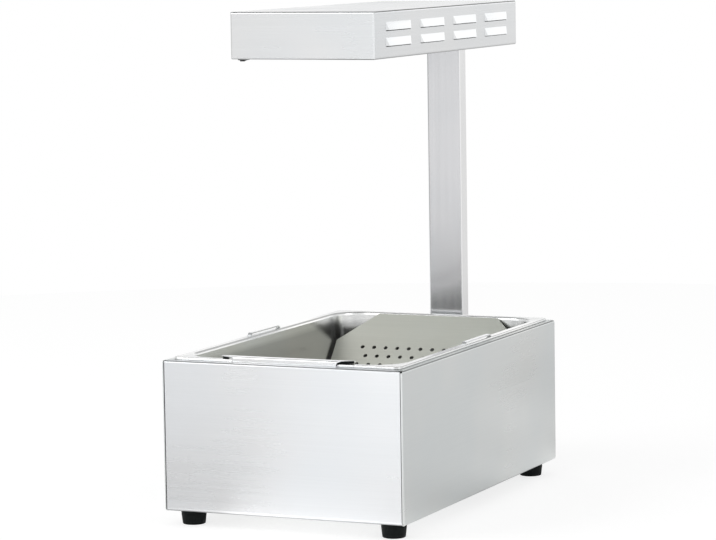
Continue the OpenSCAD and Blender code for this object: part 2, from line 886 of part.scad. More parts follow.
// Outline of the trapezoid inside the reflector, widened by d
module reflector_inside(d) {
    polygon([[-reflector_foot - d, reflector_z0 - eps], [reflector_foot + d, reflector_z0 - eps],
        [reflector_top + d, reflector_z1 + d], [-reflector_top - d, reflector_z1 + d]]);
}

module reflector() {
    color([0.88, 0.88, 0.86]) difference() {
        union() {
            along_y(reflector_y0, reflector_len)
                intersection() {
                    reflector_inside(reflector_t);
                    translate([-hood_w / 2, reflector_z0])
                        square([hood_w, hood_h]);
                }
            // Lips that rest on the hood's side folds
            for (x = [-1, 1])
                translate([x * (reflector_foot + 6), reflector_y0 + reflector_len / 2,
                    reflector_z0 + reflector_t / 2])
                    cube([12, reflector_len, reflector_t], center = true);
        }
        along_y(reflector_y0 + reflector_t, reflector_len - 2 * reflector_t)
            reflector_inside(0);
        // Low ends that let the guard's rods pass
        translate([-reflector_foot + 7, reflector_y0 - eps, reflector_z0 - eps])
            cube([2 * reflector_foot - 14, reflector_len + 2 * eps, 2 * rod_d + 1]);
    }
}

lamp_rise = 27;
lamp_z = hood_z + lamp_rise;
lamp_mid_y = reflector_y0 + reflector_len / 2;
seal_l = 7;
holder_l = 16;
holder_w = 24;
holder_grip = 9;
holder_wall = 4;

module lamp(sx) {
    bore = tube_d / 2 - tube_wall;
    color([0.9, 0.85, 0.75])
        translate([sx * tube_spacing / 2, lamp_mid_y - tube_l / 2, lamp_z])
            rotate([-90, 0, 0])
                rotate_extrude()
                    polygon([[0, 0], [tube_d / 2 - 1.5, 0], [tube_d / 2, 1.5], [tube_d / 2, tube_l - 1.5],
                        [tube_d / 2 - 1.5, tube_l], [0, tube_l], [0, tube_l - seal_l],
                        [bore, tube_l - seal_l], [bore, seal_l], [0, seal_l]]);
}

module lamp_left() {
    lamp(-1);
}

module lamp_right() {
    lamp(1);
}

module lamp_filaments() {
    color("orange")
        for (x = [-1, 1])
            translate([x * tube_spacing / 2, lamp_mid_y - tube_l / 2 + seal_l, lamp_z])
                rotate([-90, 0, 0])
                    cylinder(d = 2.4, h = tube_l - 2 * seal_l, $fn = 24);
}

// Ceramic blocks that hang from the reflector's roof and hold one end of both tubes
module lamp_holders(y) {
    block_z = lamp_z - tube_d / 2 - holder_wall;
    color("ivory")
        for (x = [-1, 1])
            difference() {
                translate([x * tube_spacing / 2 - holder_w / 2, y, block_z])
                    cube([holder_w, holder_l, reflector_z1 - block_z]);
                translate([x * tube_spacing / 2, y + holder_l / 2, lamp_z])
                    rotate([90, 0, 0])
                        cylinder(d = tube_d + 2 * press, h = holder_l + 2 * eps, center = true);
            }
}

module lamp_holders_front() {
    lamp_holders(lamp_mid_y - tube_l / 2 - holder_l + holder_grip);
}

module lamp_holders_rear() {
    lamp_holders(lamp_mid_y + tube_l / 2 - holder_grip);
}

guard_z = hood_z + sheet + rod_d / 2 + press;
guard_y0 = hood_front_y + hood_front_fold_w - 12;
guard_y1 = post_front_y - 4;
guard_cross = 9;
guard_rear_gap = 12;

module lamp_guard() {
    color("silver") {
        for (x = [-2:2]) {
            reach = abs(x) == 2 ? hood_back_y - guard_rear_gap : guard_y1;
            translate([x * (reflector_foot - 8) / 2, guard_y0, guard_z])
                rotate([-90, 0, 0])
                    cylinder(d = rod_d, h = reach - guard_y0, $fn = 8);
        }
        for (i = [0:guard_cross - 1])
            translate([0, guard_y0 + 24 + i * (guard_y1 - guard_y0 - 36) / (guard_cross - 1),
                guard_z + rod_d * 0.8])
                rotate([0, 90, 0])
                    cylinder(d = rod_d, h = 2 * reflector_foot - 13, center = true, $fn = 8);
    }
}

// Wiring parts

module terminal_block(size, ways) {
    difference() {
        cube(size);
        for (i = [0:ways - 1])
            translate([size[0] * (i + 0.5) / ways, size[1] / 2, size[2] - 4])
                cylinder(d = 4, h = 5, $fn = 24);
    }
}

hood_terminal_size = [40, 18, 30];

hood_terminal_y1 = post_front_y - 22;

module hood_terminal() {
    color("ivory")
        translate([-hood_terminal_size[0] / 2, hood_terminal_y1 - hood_terminal_size[1],
            hood_top_z - 2 * sheet - hood_terminal_size[2] - press])
            terminal_block(hood_terminal_size, 3);
}

base_terminal_size = [48, 26, 20];
base_lead_y = back_y - sheet - press - base_terminal_size[1] / 2;

module base_terminal() {
    color("ivory")
        translate([-base_terminal_size[0] / 2, back_y - sheet - press - base_terminal_size[1],
            lead_z - lead_bend - 24 - base_terminal_size[2]])
            terminal_block(base_terminal_size, 4);
}

// A quarter turn of the lead from travelling up to travelling back
module lead_turn() {
    translate([0, lead_bend, 0])
        rotate([0, 0, 90])
            rotate([90, 0, 0])
                rotate([0, 0, 90])
                    rotate_extrude(angle = 90)
                        translate([lead_bend, 0])
                            circle(d = lead_d);
}

module lamp_lead() {
    block_top = lead_z - lead_bend - 24;
    color("dimgray") {
        translate([0, base_lead_y, block_top])
            cylinder(d = lead_d, h = lead_z - lead_bend - block_top);
        translate([0, base_lead_y, lead_z - lead_bend])
            lead_turn();
        translate([0, base_lead_y + lead_bend, lead_z])
            rotate([-90, 0, 0])
                cylinder(d = lead_d, h = lead_y - base_lead_y - 2 * lead_bend);
        translate([0, lead_y, lead_z + lead_bend])
            rotate([180, 0, 0])
                lead_turn();
        translate([0, lead_y, lead_z + lead_bend])
            cylinder(d = lead_d, h = lead_top_z - lead_z - 2 * lead_bend);
        translate([0, lead_y, lead_top_z - lead_bend])
            mirror([0, 1, 0])
                lead_turn();
        translate([0, lead_y - lead_bend, lead_top_z])
            rotate([90, 0, 0])
                cylinder(d = lead_d, h = lead_y - lead_bend - hood_terminal_y1);
    }
}

// Outline of the grommet's section: a round body with a groove for the panel's edge
function grommet_outline(bore, flange, neck, half, groove) = [
    [bore, -half], [flange, -half], [flange, -groove], [neck, -groove],
    [neck, groove], [flange, groove], [flange, half], [bore, half]];

module lead_grommet() {
    color([0.1, 0.1, 0.1])
        translate([0, back_y - sheet / 2, lead_z])
            rotate([90, 0, 0])
                rotate_extrude()
                    polygon(grommet_outline(lead_d / 2 + press, grommet_hole_d / 2 + 1.6,
                        grommet_hole_d / 2 - press, 2.4, sheet / 2 + press));
}

gland_hex = 19;

module cable_gland() {
    color([0.12, 0.12, 0.12])
        translate([gland_x, back_y + press, gland_z])
            rotate([-90, 0, 0])
                difference() {
                    union() {
                        cylinder(d = gland_hex / cos(30), h = 5, $fn = 6);
                        translate([0, 0, -sheet - 10])
                            cylinder(d = gland_thread_d, h = 12 + sheet);
                        translate([0, 0, 4.5])
                            rotate_extrude()
                                polygon([[0, 0], [8.6, 0], [9, 1], [9, 9], [6.4, 14], [0, 14]]);
                    }
                    translate([0, 0, -sheet - 11])
                        cylinder(d = gland_bore, h = 36);
                }
}

module gland_nut() {
    color([0.15, 0.15, 0.15])
        translate([gland_x, back_y - sheet - press, gland_z])
            rotate([90, 0, 0])
                difference() {
                    cylinder(d = 22, h = 4.5, $fn = 6);
                    translate([0, 0, -eps])
                        cylinder(d = gland_thread_d + 2 * press, h = 5);
                }
}

// Rocker switch in the front fold of the hood

bezel_t = 1.2;
switch_neck_w = switch_w - 2.2;
switch_neck_l = switch_l - 2.2;
switch_h = 12.5;
switch_x = -hood_w / 2 + 12.5;
switch_y = hood_front_y + 14;
rocker_w = switch_w - 4;
rocker_r = switch_l / 2 - 2;
rocker_z = hood_z + 0.4;
nub_r = 1;
nub_play = 0.06;

module switch_body() {
    color([0.06, 0.06, 0.06])
        translate([switch_x, switch_y, hood_z])
            difference() {
                union() {
                    translate([0, 0, -bezel_t - press])
                        linear_extrude(bezel_t)
                            round_rect([-switch_w / 2, -switch_l / 2], [switch_w / 2, switch_l / 2], 1);
                    translate([0, 0, (switch_h - bezel_t) / 2])
                        cube([switch_neck_w, switch_neck_l, switch_h + bezel_t - 0.4], center = true);
                }
                translate([0, 0, -bezel_t - 1])
                    linear_extrude(bezel_t + 8)
                        square([rocker_w + 2 * fit, 2 * rocker_r + 2 * fit], center = true);
                translate([0, 0, rocker_z - hood_z])
                    rotate([0, 90, 0])
                        cylinder(r = nub_r + nub_play, h = rocker_w + 2.1, center = true);
            }
}

module switch_rocker() {
    color([0.05, 0.05, 0.05])
        translate([switch_x, switch_y, rocker_z])
            rotate([rocker_tilt, 0, 0]) {
                along_x(rocker_w)
                    intersection() {
                        circle(rocker_r);
                        polygon([[-rocker_r, 3.2], [rocker_r, 3.2], [rocker_r, -2.9], [0, -2.1],
                            [-rocker_r, -2.9]]);
                    }
                rotate([0, 90, 0])
                    cylinder(r = nub_r, h = rocker_w + 1.7, center = true);
            }
}

side_left();
side_right();
front_panel();
rear_panel();
base_plate();
foot_front_left();
foot_front_right();
foot_rear_left();
foot_rear_right();
foot_screws();
foot_nuts();
food_pan();
grip_left();
grip_right();
grip_front();
drain_plate();
post();
post_cover();
post_bracket();
bracket_screws();
post_screws();
hood_shell();
hood_rear();
hood_bracket();
hood_screws();
reflector();
lamp_left();
lamp_right();
lamp_filaments();
lamp_holders_front();
lamp_holders_rear();
lamp_guard();
hood_terminal();
base_terminal();
lamp_lead();
lead_grommet();
cable_gland();
gland_nut();
switch_body();
switch_rocker();
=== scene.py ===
import math

import bpy
from mathutils import Matrix, Vector


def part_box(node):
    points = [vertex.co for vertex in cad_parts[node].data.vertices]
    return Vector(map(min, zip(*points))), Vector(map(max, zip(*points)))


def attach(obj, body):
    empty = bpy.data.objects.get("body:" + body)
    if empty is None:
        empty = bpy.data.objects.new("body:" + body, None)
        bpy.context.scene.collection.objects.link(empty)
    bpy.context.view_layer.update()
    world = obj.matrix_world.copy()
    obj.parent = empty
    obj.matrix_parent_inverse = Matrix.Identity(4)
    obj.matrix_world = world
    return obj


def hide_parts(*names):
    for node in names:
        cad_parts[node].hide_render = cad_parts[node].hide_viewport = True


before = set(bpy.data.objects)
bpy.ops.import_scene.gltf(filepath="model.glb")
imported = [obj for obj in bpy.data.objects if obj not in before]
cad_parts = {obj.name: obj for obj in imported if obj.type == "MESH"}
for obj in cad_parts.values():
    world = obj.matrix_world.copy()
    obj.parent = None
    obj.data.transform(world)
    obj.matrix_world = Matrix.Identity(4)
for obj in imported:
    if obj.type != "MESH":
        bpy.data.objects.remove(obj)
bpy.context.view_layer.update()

# The camera stands where the photograph's did, found from the housing's straight edges
LENS_MM, SENSOR_MM, CLIP_END = 161.42, 36.0, 100.0
CAMERA_AT = (1.7615, -3.98035, 0.7855)
AZIMUTH, ELEVATION, ROLL = (math.radians(v) for v in (24.0912, 6.2003, -0.8848))

WHITE = (1.0, 1.0, 1.0, 1.0)
MM = 0.001
TURN = 2 * math.pi
# Anything smaller counts as nothing
TINY = 1e-9


def make_camera():
    data = bpy.data.cameras.new("camera")
    data.lens = LENS_MM
    data.sensor_width = SENSOR_MM
    data.clip_end = CLIP_END
    cam = bpy.data.objects.new("camera", data)
    bpy.context.collection.objects.link(cam)
    back = Vector((math.sin(AZIMUTH) * math.cos(ELEVATION),
                   -math.cos(AZIMUTH) * math.cos(ELEVATION), math.sin(ELEVATION)))
    right = Vector((math.cos(AZIMUTH), math.sin(AZIMUTH), 0.0))
    up = back.cross(right)
    right, up = (math.cos(ROLL) * right + math.sin(ROLL) * up,
                 math.cos(ROLL) * up - math.sin(ROLL) * right)
    turn = Matrix((right, up, back)).transposed()
    cam.matrix_world = Matrix.Translation(CAMERA_AT) @ turn.to_4x4()
    bpy.context.scene.camera = cam


class Nodes:
    """A node tree, with short calls for the nodes that are used again and again."""

    def __init__(self, tree):
        self.tree = tree
        self.tree.nodes.clear()

    @classmethod
    def of_material(cls, name):
        material = bpy.data.materials.new(name)
        material.use_nodes = True
        nodes = cls(material.node_tree)
        nodes.material = material
        nodes.out = nodes.add("OutputMaterial")
        return nodes

    def add(self, kind, inputs=None, **settings):
        node = self.tree.nodes.new("ShaderNode" + kind)
        for key, value in settings.items():
            setattr(node, key, value)
        for key, value in (inputs or {}).items():
            if isinstance(value, bpy.types.NodeSocket):
                self.tree.links.new(value, node.inputs[key])
            else:
                node.inputs[key].default_value = value
        return node

    def axis(self, vector, name):
        return self.add("SeparateXYZ", {0: vector}).outputs[name]

    def calc(self, operation, a, b=0.0):
        return self.add("Math", {0: a, 1: b}, operation=operation).outputs[0]

    def position(self, scale=(1, 1, 1)):
        place = self.add("TexCoord")
        return self.add("Mapping", {"Vector": place.outputs["Object"], "Scale": scale}).outputs[0]

    def noise(self, vector, scale, detail=2.0, roughness=0.5):
        return self.add("TexNoise", {"Vector": vector, "Scale": scale, "Detail": detail,
                                     "Roughness": roughness}).outputs["Fac"]

    def span(self, value, low, high, start=0.3, end=0.7):
        return self.add("MapRange", {"Value": value, "From Min": start, "From Max": end,
                                     "To Min": low, "To Max": high}).outputs[0]

    def blend(self, factor, a, b):
        mix = self.add("Mix", data_type="RGBA")
        self.tree.links.new(factor, mix.inputs[0])
        for socket, value in ((mix.inputs[6], a), (mix.inputs[7], b)):
            if isinstance(value, bpy.types.NodeSocket):
                self.tree.links.new(value, socket)
            else:
                socket.default_value = value
        return mix.outputs[2]

    def bump(self, height, strength, distance):
        return self.add("Bump", {"Height": height, "Strength": strength,
                                 "Distance": distance}).outputs[0]

    def times(self, colour, factor):
        return self.add("VectorMath", {0: colour, "Scale": factor}, operation="SCALE").outputs["Vector"]

    def levels(self, value, stops):
        """Half the level that the stops give for a value from 0 to 1."""
        ramp = self.add("ValToRGB", {"Fac": value})
        colours = ramp.color_ramp.elements
        for at, level in stops:
            stop = {0.0: colours[0], 1.0: colours[-1]}.get(at) or colours.new(at)
            stop.color = (level / 2, level / 2, level / 2, 1.0)
        return ramp.outputs[0]

    def compass_band(self, way, stops):
        """Half the level at a direction's or place's compass angle, from the front round to the right."""
        ahead = self.calc("MULTIPLY", self.axis(way, "Y"), -1.0)
        compass = self.calc("ARCTAN2", self.axis(way, "X"), ahead)
        place = self.span(compass, 0.0, 1.0, -math.pi, math.pi)
        return self.levels(place, [(angle / 360 + 0.5, level) for angle, level in stops])

    def finish(self, inputs):
        shader = self.add("BsdfPrincipled", inputs)
        self.tree.links.new(shader.outputs[0], self.out.inputs[0])
        return self.material


def grey(value, tint=(1.0, 1.0, 1.0)):
    return (value * tint[0], value * tint[1], value * tint[2], 1.0)


def grain_tangent(n, along):
    """The direction across the grain in each face, for highlights that a brushed face smears."""
    normal = n.add("NewGeometry").outputs["Normal"]
    cross = n.add("VectorMath", {0: normal, 1: along}, operation="CROSS_PRODUCT").outputs[0]
    return n.add("VectorMath", {0: cross}, operation="NORMALIZE").outputs[0]


def facing(n, axis):
    """How far a face looks along an axis, before any bump: from -1 to 1."""
    return n.axis(n.add("NewGeometry").outputs["True Normal"], axis)


def faces_along_y(n):
    """1 on faces that look to the front or the back, 0 elsewhere."""
    return n.calc("GREATER_THAN", n.calc("ABSOLUTE", facing(n, "Y")), 0.7)


# Brushed sheet: how far its grain is drawn out, its fine and broad lines, its clouds and their cooler tint
GRAIN_STRETCH = 0.006
FINE_LINES, BROAD_LINES, CLOUDS = 900.0, 160.0, 5.0
BRUSH_DEPTH = 0.000005
CLOUD_TINT = (0.93, 0.95, 0.965)
# Painted shade round a fold: how dark the steel is made there, from facing down to facing up
FOLD_SHADE_LEVELS = [(0.0, 1.0), (0.015, 0.6), (0.1, 0.5), (0.25, 1.0), (0.66, 1.0), (0.71, 0.4), (0.88, 0.35),
               (0.97, 0.8), (0.99, 1.0), (1.0, 1.0)]
ALONG_X = (1.0, 0.1, 0.0)
ALONG_Y = (0.1, 1.0, 0.0)
ALONG_Z = (0.0, 0.05, 1.0)
# Moulded goods: their fine grain, their broad clouds and how deep the grain is
MOULD_GRAIN, MOULD_CLOUDS, MOULD_DEPTH = 2500.0, 40.0, 0.00004


def brushed(name, along, tone, tint=(1, 1, 1), rough=(0.24, 0.36), grain_x_on_front=False, smear=0.4,
            streak=0.02, below=None, side=None, painted_fold_shade=False):
    """Brushed sheet: along is the grain's direction, but front and rear faces can have theirs along X.

    below holds two heights and a level for painted shade in a well: full brightness above the first,
    darkened to the level under the second.
    side paints light onto faces that look sideways, as the brightness they are raised to, and the fold
    option paints shade onto the bends.
    """
    n = Nodes.of_material(name)

    def grain(scale, detail):
        stretch = [GRAIN_STRETCH if v > 0.5 else 1.0 for v in along]
        lines = n.noise(n.position(stretch), scale, detail, 0.6)
        if grain_x_on_front:
            across = n.noise(n.position((GRAIN_STRETCH, 1.0, 1.0)), scale, detail, 0.6)
            lines = n.add("Mix", {0: faces_along_y(n), 2: lines, 3: across}).outputs[0]
        return lines

    fine = grain(FINE_LINES, 4.0)
    broad = grain(BROAD_LINES, 2.0)
    cloud = n.noise(n.position(), CLOUDS, 2.0)
    colour = n.blend(n.span(fine, 0.0, 1.0), grey(tone * (1 - streak), tint),
                     grey(min(tone * (1 + streak), 1.0), tint))
    cool = n.add("VectorMath", {0: colour, 1: CLOUD_TINT}, operation="MULTIPLY").outputs["Vector"]
    colour = n.blend(n.span(cloud, 0.0, 1.0, 0.35, 0.65), colour, cool)
    # Painted shade: darker towards the bottom, below the given heights
    if below:
        top, foot, level = below
        colour = n.times(colour, n.span(n.axis(n.position(), "Z"), level, 1.0, foot, top))
    # Painted shade: the bends are darkened by which way they face
    if painted_fold_shade:
        fold = n.levels(n.span(facing(n, "Z"), 0.0, 1.0, -1.0, 1.0), FOLD_SHADE_LEVELS)
        colour = n.times(n.times(colour, fold), 2.0)
    # Painted light: faces that look sideways are made brighter
    if side:
        colour = n.times(colour, n.span(n.calc("ABSOLUTE", facing(n, "X")), 1.0, side, 0.6, 0.8))
    spread = n.calc("ADD", n.span(cloud, *rough), n.span(broad, -0.02, 0.02))
    return n.finish({"Base Color": colour, "Metallic": 1.0, "Roughness": spread, "Anisotropic": smear,
                     "Tangent": grain_tangent(n, along), "Normal": n.bump(fine, 0.1, BRUSH_DEPTH)})


def moulded(name, colour, rough, specular=0.5):
    n = Nodes.of_material(name)
    fine = n.noise(n.position(), MOULD_GRAIN, 2.0)
    broad = n.noise(n.position(), MOULD_CLOUDS, 2.0)
    tone = n.blend(n.span(broad, 0.0, 1.0), [c * 0.85 for c in colour] + [1.0],
                   [min(c * 1.15, 1.0) for c in colour] + [1.0])
    return n.finish({"Base Color": tone, "Roughness": n.span(broad, *rough),
                     "Specular IOR Level": specular, "Normal": n.bump(fine, 0.3, MOULD_DEPTH)})


def quartz(name):
    n = Nodes.of_material(name)
    haze = n.noise(n.position(), 80.0)
    tone = n.blend(n.span(haze, 0.0, 1.0), grey(0.97), grey(0.92, (1, 0.98, 0.95)))
    return n.finish({"Base Color": tone, "Roughness": n.span(haze, 0.02, 0.08),
                     "Transmission Weight": 1.0, "IOR": 1.46})


# The front's bluish and the side panels' greenish tints are painted light colour
front_steel = brushed("front_steel", ALONG_X, 0.89, (0.985, 0.99, 1.0), smear=0.7, streak=0.012,
                      painted_fold_shade=True)
body_steel = brushed("body_steel", ALONG_Y, 0.865, (0.985, 1.0, 0.985), grain_x_on_front=True,
                     smear=0.3, streak=0.012, painted_fold_shade=True)
hood_steel = brushed("hood_steel", ALONG_Y, 0.885, rough=(0.2, 0.28), grain_x_on_front=True,
                     smear=0.2, painted_fold_shade=True)
# The post's darker tone is painted shade on its front, and side=1.6 paints its sideways faces lighter
post_steel = brushed("post_steel", ALONG_Z, 0.675, (0.99, 0.985, 1.0), (0.14, 0.2), smear=0.0, side=1.6)
# The pan is painted darker below its rim, as shade inside its well
pan_steel = brushed("pan_steel", ALONG_Y, 0.92, (1.0, 0.995, 0.98), (0.18, 0.30), grain_x_on_front=True,
                    smear=0.2, below=(0.213, 0.205, 0.7))
grip_steel = brushed("grip_steel", ALONG_Y, 0.92, rough=(0.16, 0.24), grain_x_on_front=True, smear=0.2)
drain_steel = brushed("drain_steel", ALONG_X, 0.84, (0.99, 1.0, 0.90), (0.34, 0.42))
zinc = brushed("zinc", ALONG_X, 0.72, rough=(0.25, 0.4), smear=0.0)
reflector_metal = brushed("reflector_metal", ALONG_Y, 0.9, rough=(0.12, 0.2))
wire = brushed("wire", ALONG_X, 0.75, rough=(0.15, 0.25), smear=0.0)
rubber = moulded("rubber", (0.005, 0.007, 0.007), (0.5, 0.65), specular=0.15)
plastic = moulded("plastic", (0.03, 0.03, 0.032), (0.42, 0.52))
ceramic = moulded("ceramic", (0.80, 0.77, 0.70), (0.6, 0.75))
sleeve = moulded("sleeve", (0.27, 0.26, 0.24), (0.7, 0.85))
filament = moulded("filament", (0.20, 0.16, 0.13), (0.5, 0.6))
quartz_glass = quartz("quartz")

FINISHES = (
    (front_steel, "front_panel"),
    (body_steel, "rear_panel side_left side_right base_plate"),
    (post_steel, "post post_cover post_bracket"),
    (hood_steel, "hood_shell hood_rear"),
    (pan_steel, "food_pan"),
    (grip_steel, "grip_left grip_right grip_front"),
    (drain_steel, "drain_plate"),
    (reflector_metal, "reflector"),
    (wire, "lamp_guard"),
    (zinc, "hood_bracket foot_screws foot_nuts bracket_screws post_screws hood_screws"),
    (quartz_glass, "lamp_left lamp_right"),
    (filament, "lamp_filaments"),
    (ceramic, "lamp_holders_front lamp_holders_rear hood_terminal base_terminal"),
    (sleeve, "lamp_lead"),
    (rubber, "lead_grommet foot_front_left foot_front_right foot_rear_left foot_rear_right"),
    (plastic, "cable_gland gland_nut switch_body switch_rocker"),
)
for material, names in FINISHES:
    for name in names.split():
        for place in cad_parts[name].material_slots:
            place.material = material


# Pieces built here in finer detail than the construction has, each where its node stands


def box_of(node):
    low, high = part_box(node)
    return Vector(low), Vector(high)


def middle(low, high):
    return (low.x + high.x) / 2, (low.y + high.y) / 2, (low.z + high.z) / 2


def stand(at, degrees=0):
    """Where a turned form goes: to a point, tipped about X."""
    return Matrix.Translation(at) @ Matrix.Rotation(math.radians(degrees), 4, "X")


def add_piece(name, body, solid, material, nodes=(), sharp=40.0):
    """A mesh piece that rides on a body, takes a material and stands for the nodes."""
    points, faces = solid
    mesh = bpy.data.meshes.new(name)
    mesh.from_pydata([tuple(p) for p in points], [], faces)
    mesh.materials.append(material)
    mesh.shade_smooth()
    mesh.set_sharp_from_angle(angle=math.radians(sharp))
    piece = bpy.data.objects.new(name, mesh)
    bpy.context.collection.objects.link(piece)
    piece.modifiers.new("normals", "WEIGHTED_NORMAL").keep_sharp = True
    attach(piece, body)
    if nodes:
        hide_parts(*nodes)


def skin(rings, closed=False):
    """A surface through rings of equally many points, closed into a loop or capped at both ends."""
    n, m = len(rings[0]), len(rings)
    points = [p for ring in rings for p in ring]
    faces = []
    for s in range(m if closed else m - 1):
        a, b = s * n, (s + 1) % m * n
        faces += [(a + j, a + (j + 1) % n, b + (j + 1) % n, b + j) for j in range(n)]
    if not closed:
        faces += [tuple(reversed(range(n))), tuple(range((m - 1) * n, m * n))]
    return points, faces


def joined(solids):
    points, faces = [], []
    for some_points, some_faces in solids:
        start = len(points)
        points += some_points
        faces += [tuple(start + i for i in face) for face in some_faces]
    return points, faces


def even_angles(count):
    return [TURN * i / count for i in range(count)]


def turned(profile, angles, place, closed=False):
    """A turned form in millimetres: profile holds (radius, height), a radius can vary with the angle."""
    rings = []
    for radius, z in profile:
        size = radius if callable(radius) else (lambda a, r=radius: r)
        rings.append([place @ (MM * Vector((size(a) * math.cos(a), size(a) * math.sin(a), z)))
                      for a in angles])
    return skin(rings, closed)


def direction(path, i):
    """The way a path runs at its point i."""
    return (path[min(i + 1, len(path) - 1)] - path[max(i - 1, 0)]).normalized()


# How far the ends of a round bar are blunted, as a part of its radius
BLUNT = 0.35


def sweep(path, radius, sides=12):
    """A round bar along a path, with blunted ends."""
    path = [Vector(p) for p in path]
    first, last = path[0], path[-1]
    path[0], path[-1] = (tip - (tip - inner).normalized() * radius * BLUNT
                         for tip, inner in ((first, path[1]), (last, path[-2])))
    sizes = [radius * (1 - BLUNT)] + [radius] * len(path) + [radius * (1 - BLUNT)]
    path = [first] + path + [last]
    rings, side = [], None
    for i, (p, r) in enumerate(zip(path, sizes)):
        along = direction(path, i)
        side = side or along.orthogonal().normalized()
        side = (side - side.dot(along) * along).normalized()
        other = along.cross(side)
        rings.append([p + r * (math.cos(t) * side + math.sin(t) * other) for t in even_angles(sides)])
    return skin(rings)


def steps(start, end, count):
    return [math.radians(start + (end - start) * i / count) for i in range(count + 1)]


def rounded_ring(half, radius, z, count=4):
    """A rectangle with rounded corners, each corner in count steps."""
    ring = []
    for i in range(4):
        cx = (1 if i in (0, 3) else -1) * (half[0] - radius)
        cy = (1 if i < 2 else -1) * (half[1] - radius)
        ring += [(cx + radius * math.cos(a), cy + radius * math.sin(a), z)
                 for a in steps(90 * i, 90 * i + 90, count)]
    return ring


def grow(half, d):
    return half[0] + d, half[1] + d


# Steps in a path's corner, and the edge radii of flat bars and of blocks
BEND_STEPS = 5
STRAP_EDGE, BLOCK_EDGE = 0.35 * MM, 0.4 * MM


def fillet(path, radius):
    """The path with each inner corner turned into a short arc."""
    path = [Vector(p) for p in path]
    result = [path[0]]
    for before, corner, after in zip(path, path[1:], path[2:]):
        a, b = (before - corner).normalized(), (after - corner).normalized()
        half = a.angle(b) / 2
        reach = radius / math.tan(half)
        centre = corner + (a + b).normalized() * radius / math.sin(half)
        start, end = ((corner + side * reach - centre).normalized() for side in (a, b))
        result += [centre + start.slerp(end, i / BEND_STEPS) * radius for i in range(BEND_STEPS + 1)]
    return result + [path[-1]]


def strap(path, across, width, thick):
    """A flat bar with rounded edges along a path: across is the direction of its width."""
    across = Vector(across)
    outline = rounded_ring((width / 2, thick / 2), STRAP_EDGE, 0, 3)
    rings = []
    for i, p in enumerate(path):
        normal = across.cross(direction(path, i))
        rings.append([p + u * across + v * normal for u, v, _ in outline])
    return skin(rings)


def inset(loop, d):
    """A closed outline drawn in by d: the outline runs anticlockwise."""
    if d < TINY:
        return loop
    result = []
    for before, p, after in zip(loop[-1:] + loop[:-1], loop, loop[1:] + loop[:1]):
        turns = [Vector((a[1] - b[1], b[0] - a[0])).normalized() for a, b in ((before, p), (p, after))]
        side = (turns[0] + turns[1]).normalized()
        result.append((p[0] + d * side.x, p[1] + d * side.y))
    return result


def block(low, high, corner):
    """A block with rounded upright corners and softened edges."""
    edge = BLOCK_EDGE
    mid = ((low[0] + high[0]) / 2, (low[1] + high[1]) / 2, 0)
    half = ((high[0] - low[0]) / 2, (high[1] - low[1]) / 2)
    bends = [(edge * (1 - math.sin(a)), low[2] + edge * (1 - math.cos(a))) for a in steps(0, 90, 3)]
    bends += [(edge * (1 - math.cos(a)), high[2] - edge * (1 - math.sin(a))) for a in steps(0, 90, 3)]
    return skin([[Vector(mid) + Vector(p) for p in rounded_ring(grow(half, -d), corner - d, z)]
                 for d, z in bends])


# Food pan, in millimetres: the construction's rings with finer corners and bends
CORNER_STEPS = 18
RIM_W, RIM_R, RIM_DROP, LIP_R = 12.0, 9.0, 3.0, 2.4
# Radii of the rim's outer edge on its lower and its upper side
EDGE_UNDER, EDGE_OVER = 1.2, 1.6
WALL, MOUTH_R, FLOOR_BEND = 1.0, 40.0, 21.0
# The wall's lean in degrees, how far below the rim it ends, and what its corners gain on the way up
LEAN, WALL_TOP, CORNER_GAIN = 4.6, 4, 12


def pan_side(mouth, floor, d):
    """Rings of one face of the pan, from its floor up to its mouth: d is the distance from the inside."""
    slope, arc, base = math.tan(math.radians(LEAN)), FLOOR_BEND + d, floor - d
    foot = grow(mouth, d + (base + arc) * slope)
    corner = MOUTH_R - CORNER_GAIN + d
    rings = [(grow(foot, arc * math.sin(a) - arc), max(corner - arc + arc * math.sin(a), 4),
              base + arc - arc * math.cos(a)) for a in steps(0, 90, 10)]
    for s in (0.25, 0.5, 0.75, 1.0):
        z = base + arc + s * (-WALL_TOP - base - arc)
        rings.append((grow(mouth, d + z * slope), corner + s * CORNER_GAIN, z))
    return rings


def drawn_in(size, radius, d, z):
    """A ring whose outline and corners are both d smaller."""
    return grow(size, -d), radius - d, z


def pan_rim(mouth, half):
    rings = [drawn_in(mouth, MOUTH_R, -WALL - LIP_R * (1 - math.cos(a)), -WALL - LIP_R * (1 - math.sin(a)))
             for a in steps(0, 90, 6)]
    rings += [drawn_in(half, RIM_R, WALL + EDGE_UNDER * (1 - math.sin(a)),
                       -WALL - EDGE_UNDER * (1 - math.cos(a))) for a in steps(0, 90, 4)]
    rings += [drawn_in(half, RIM_R, WALL, -RIM_DROP), drawn_in(half, RIM_R, 0.3, -RIM_DROP),
              (half, RIM_R, 0.3 - RIM_DROP)]
    rings += [drawn_in(half, RIM_R, EDGE_OVER * (1 - math.cos(a)), -EDGE_OVER * (1 - math.sin(a)))
              for a in steps(0, 90, 6)]
    outer = LIP_R + WALL
    rings += [drawn_in(mouth, MOUTH_R, -outer * (1 - math.cos(a)), -outer * (1 - math.sin(a)))
              for a in steps(90, 0, 8)]
    return rings


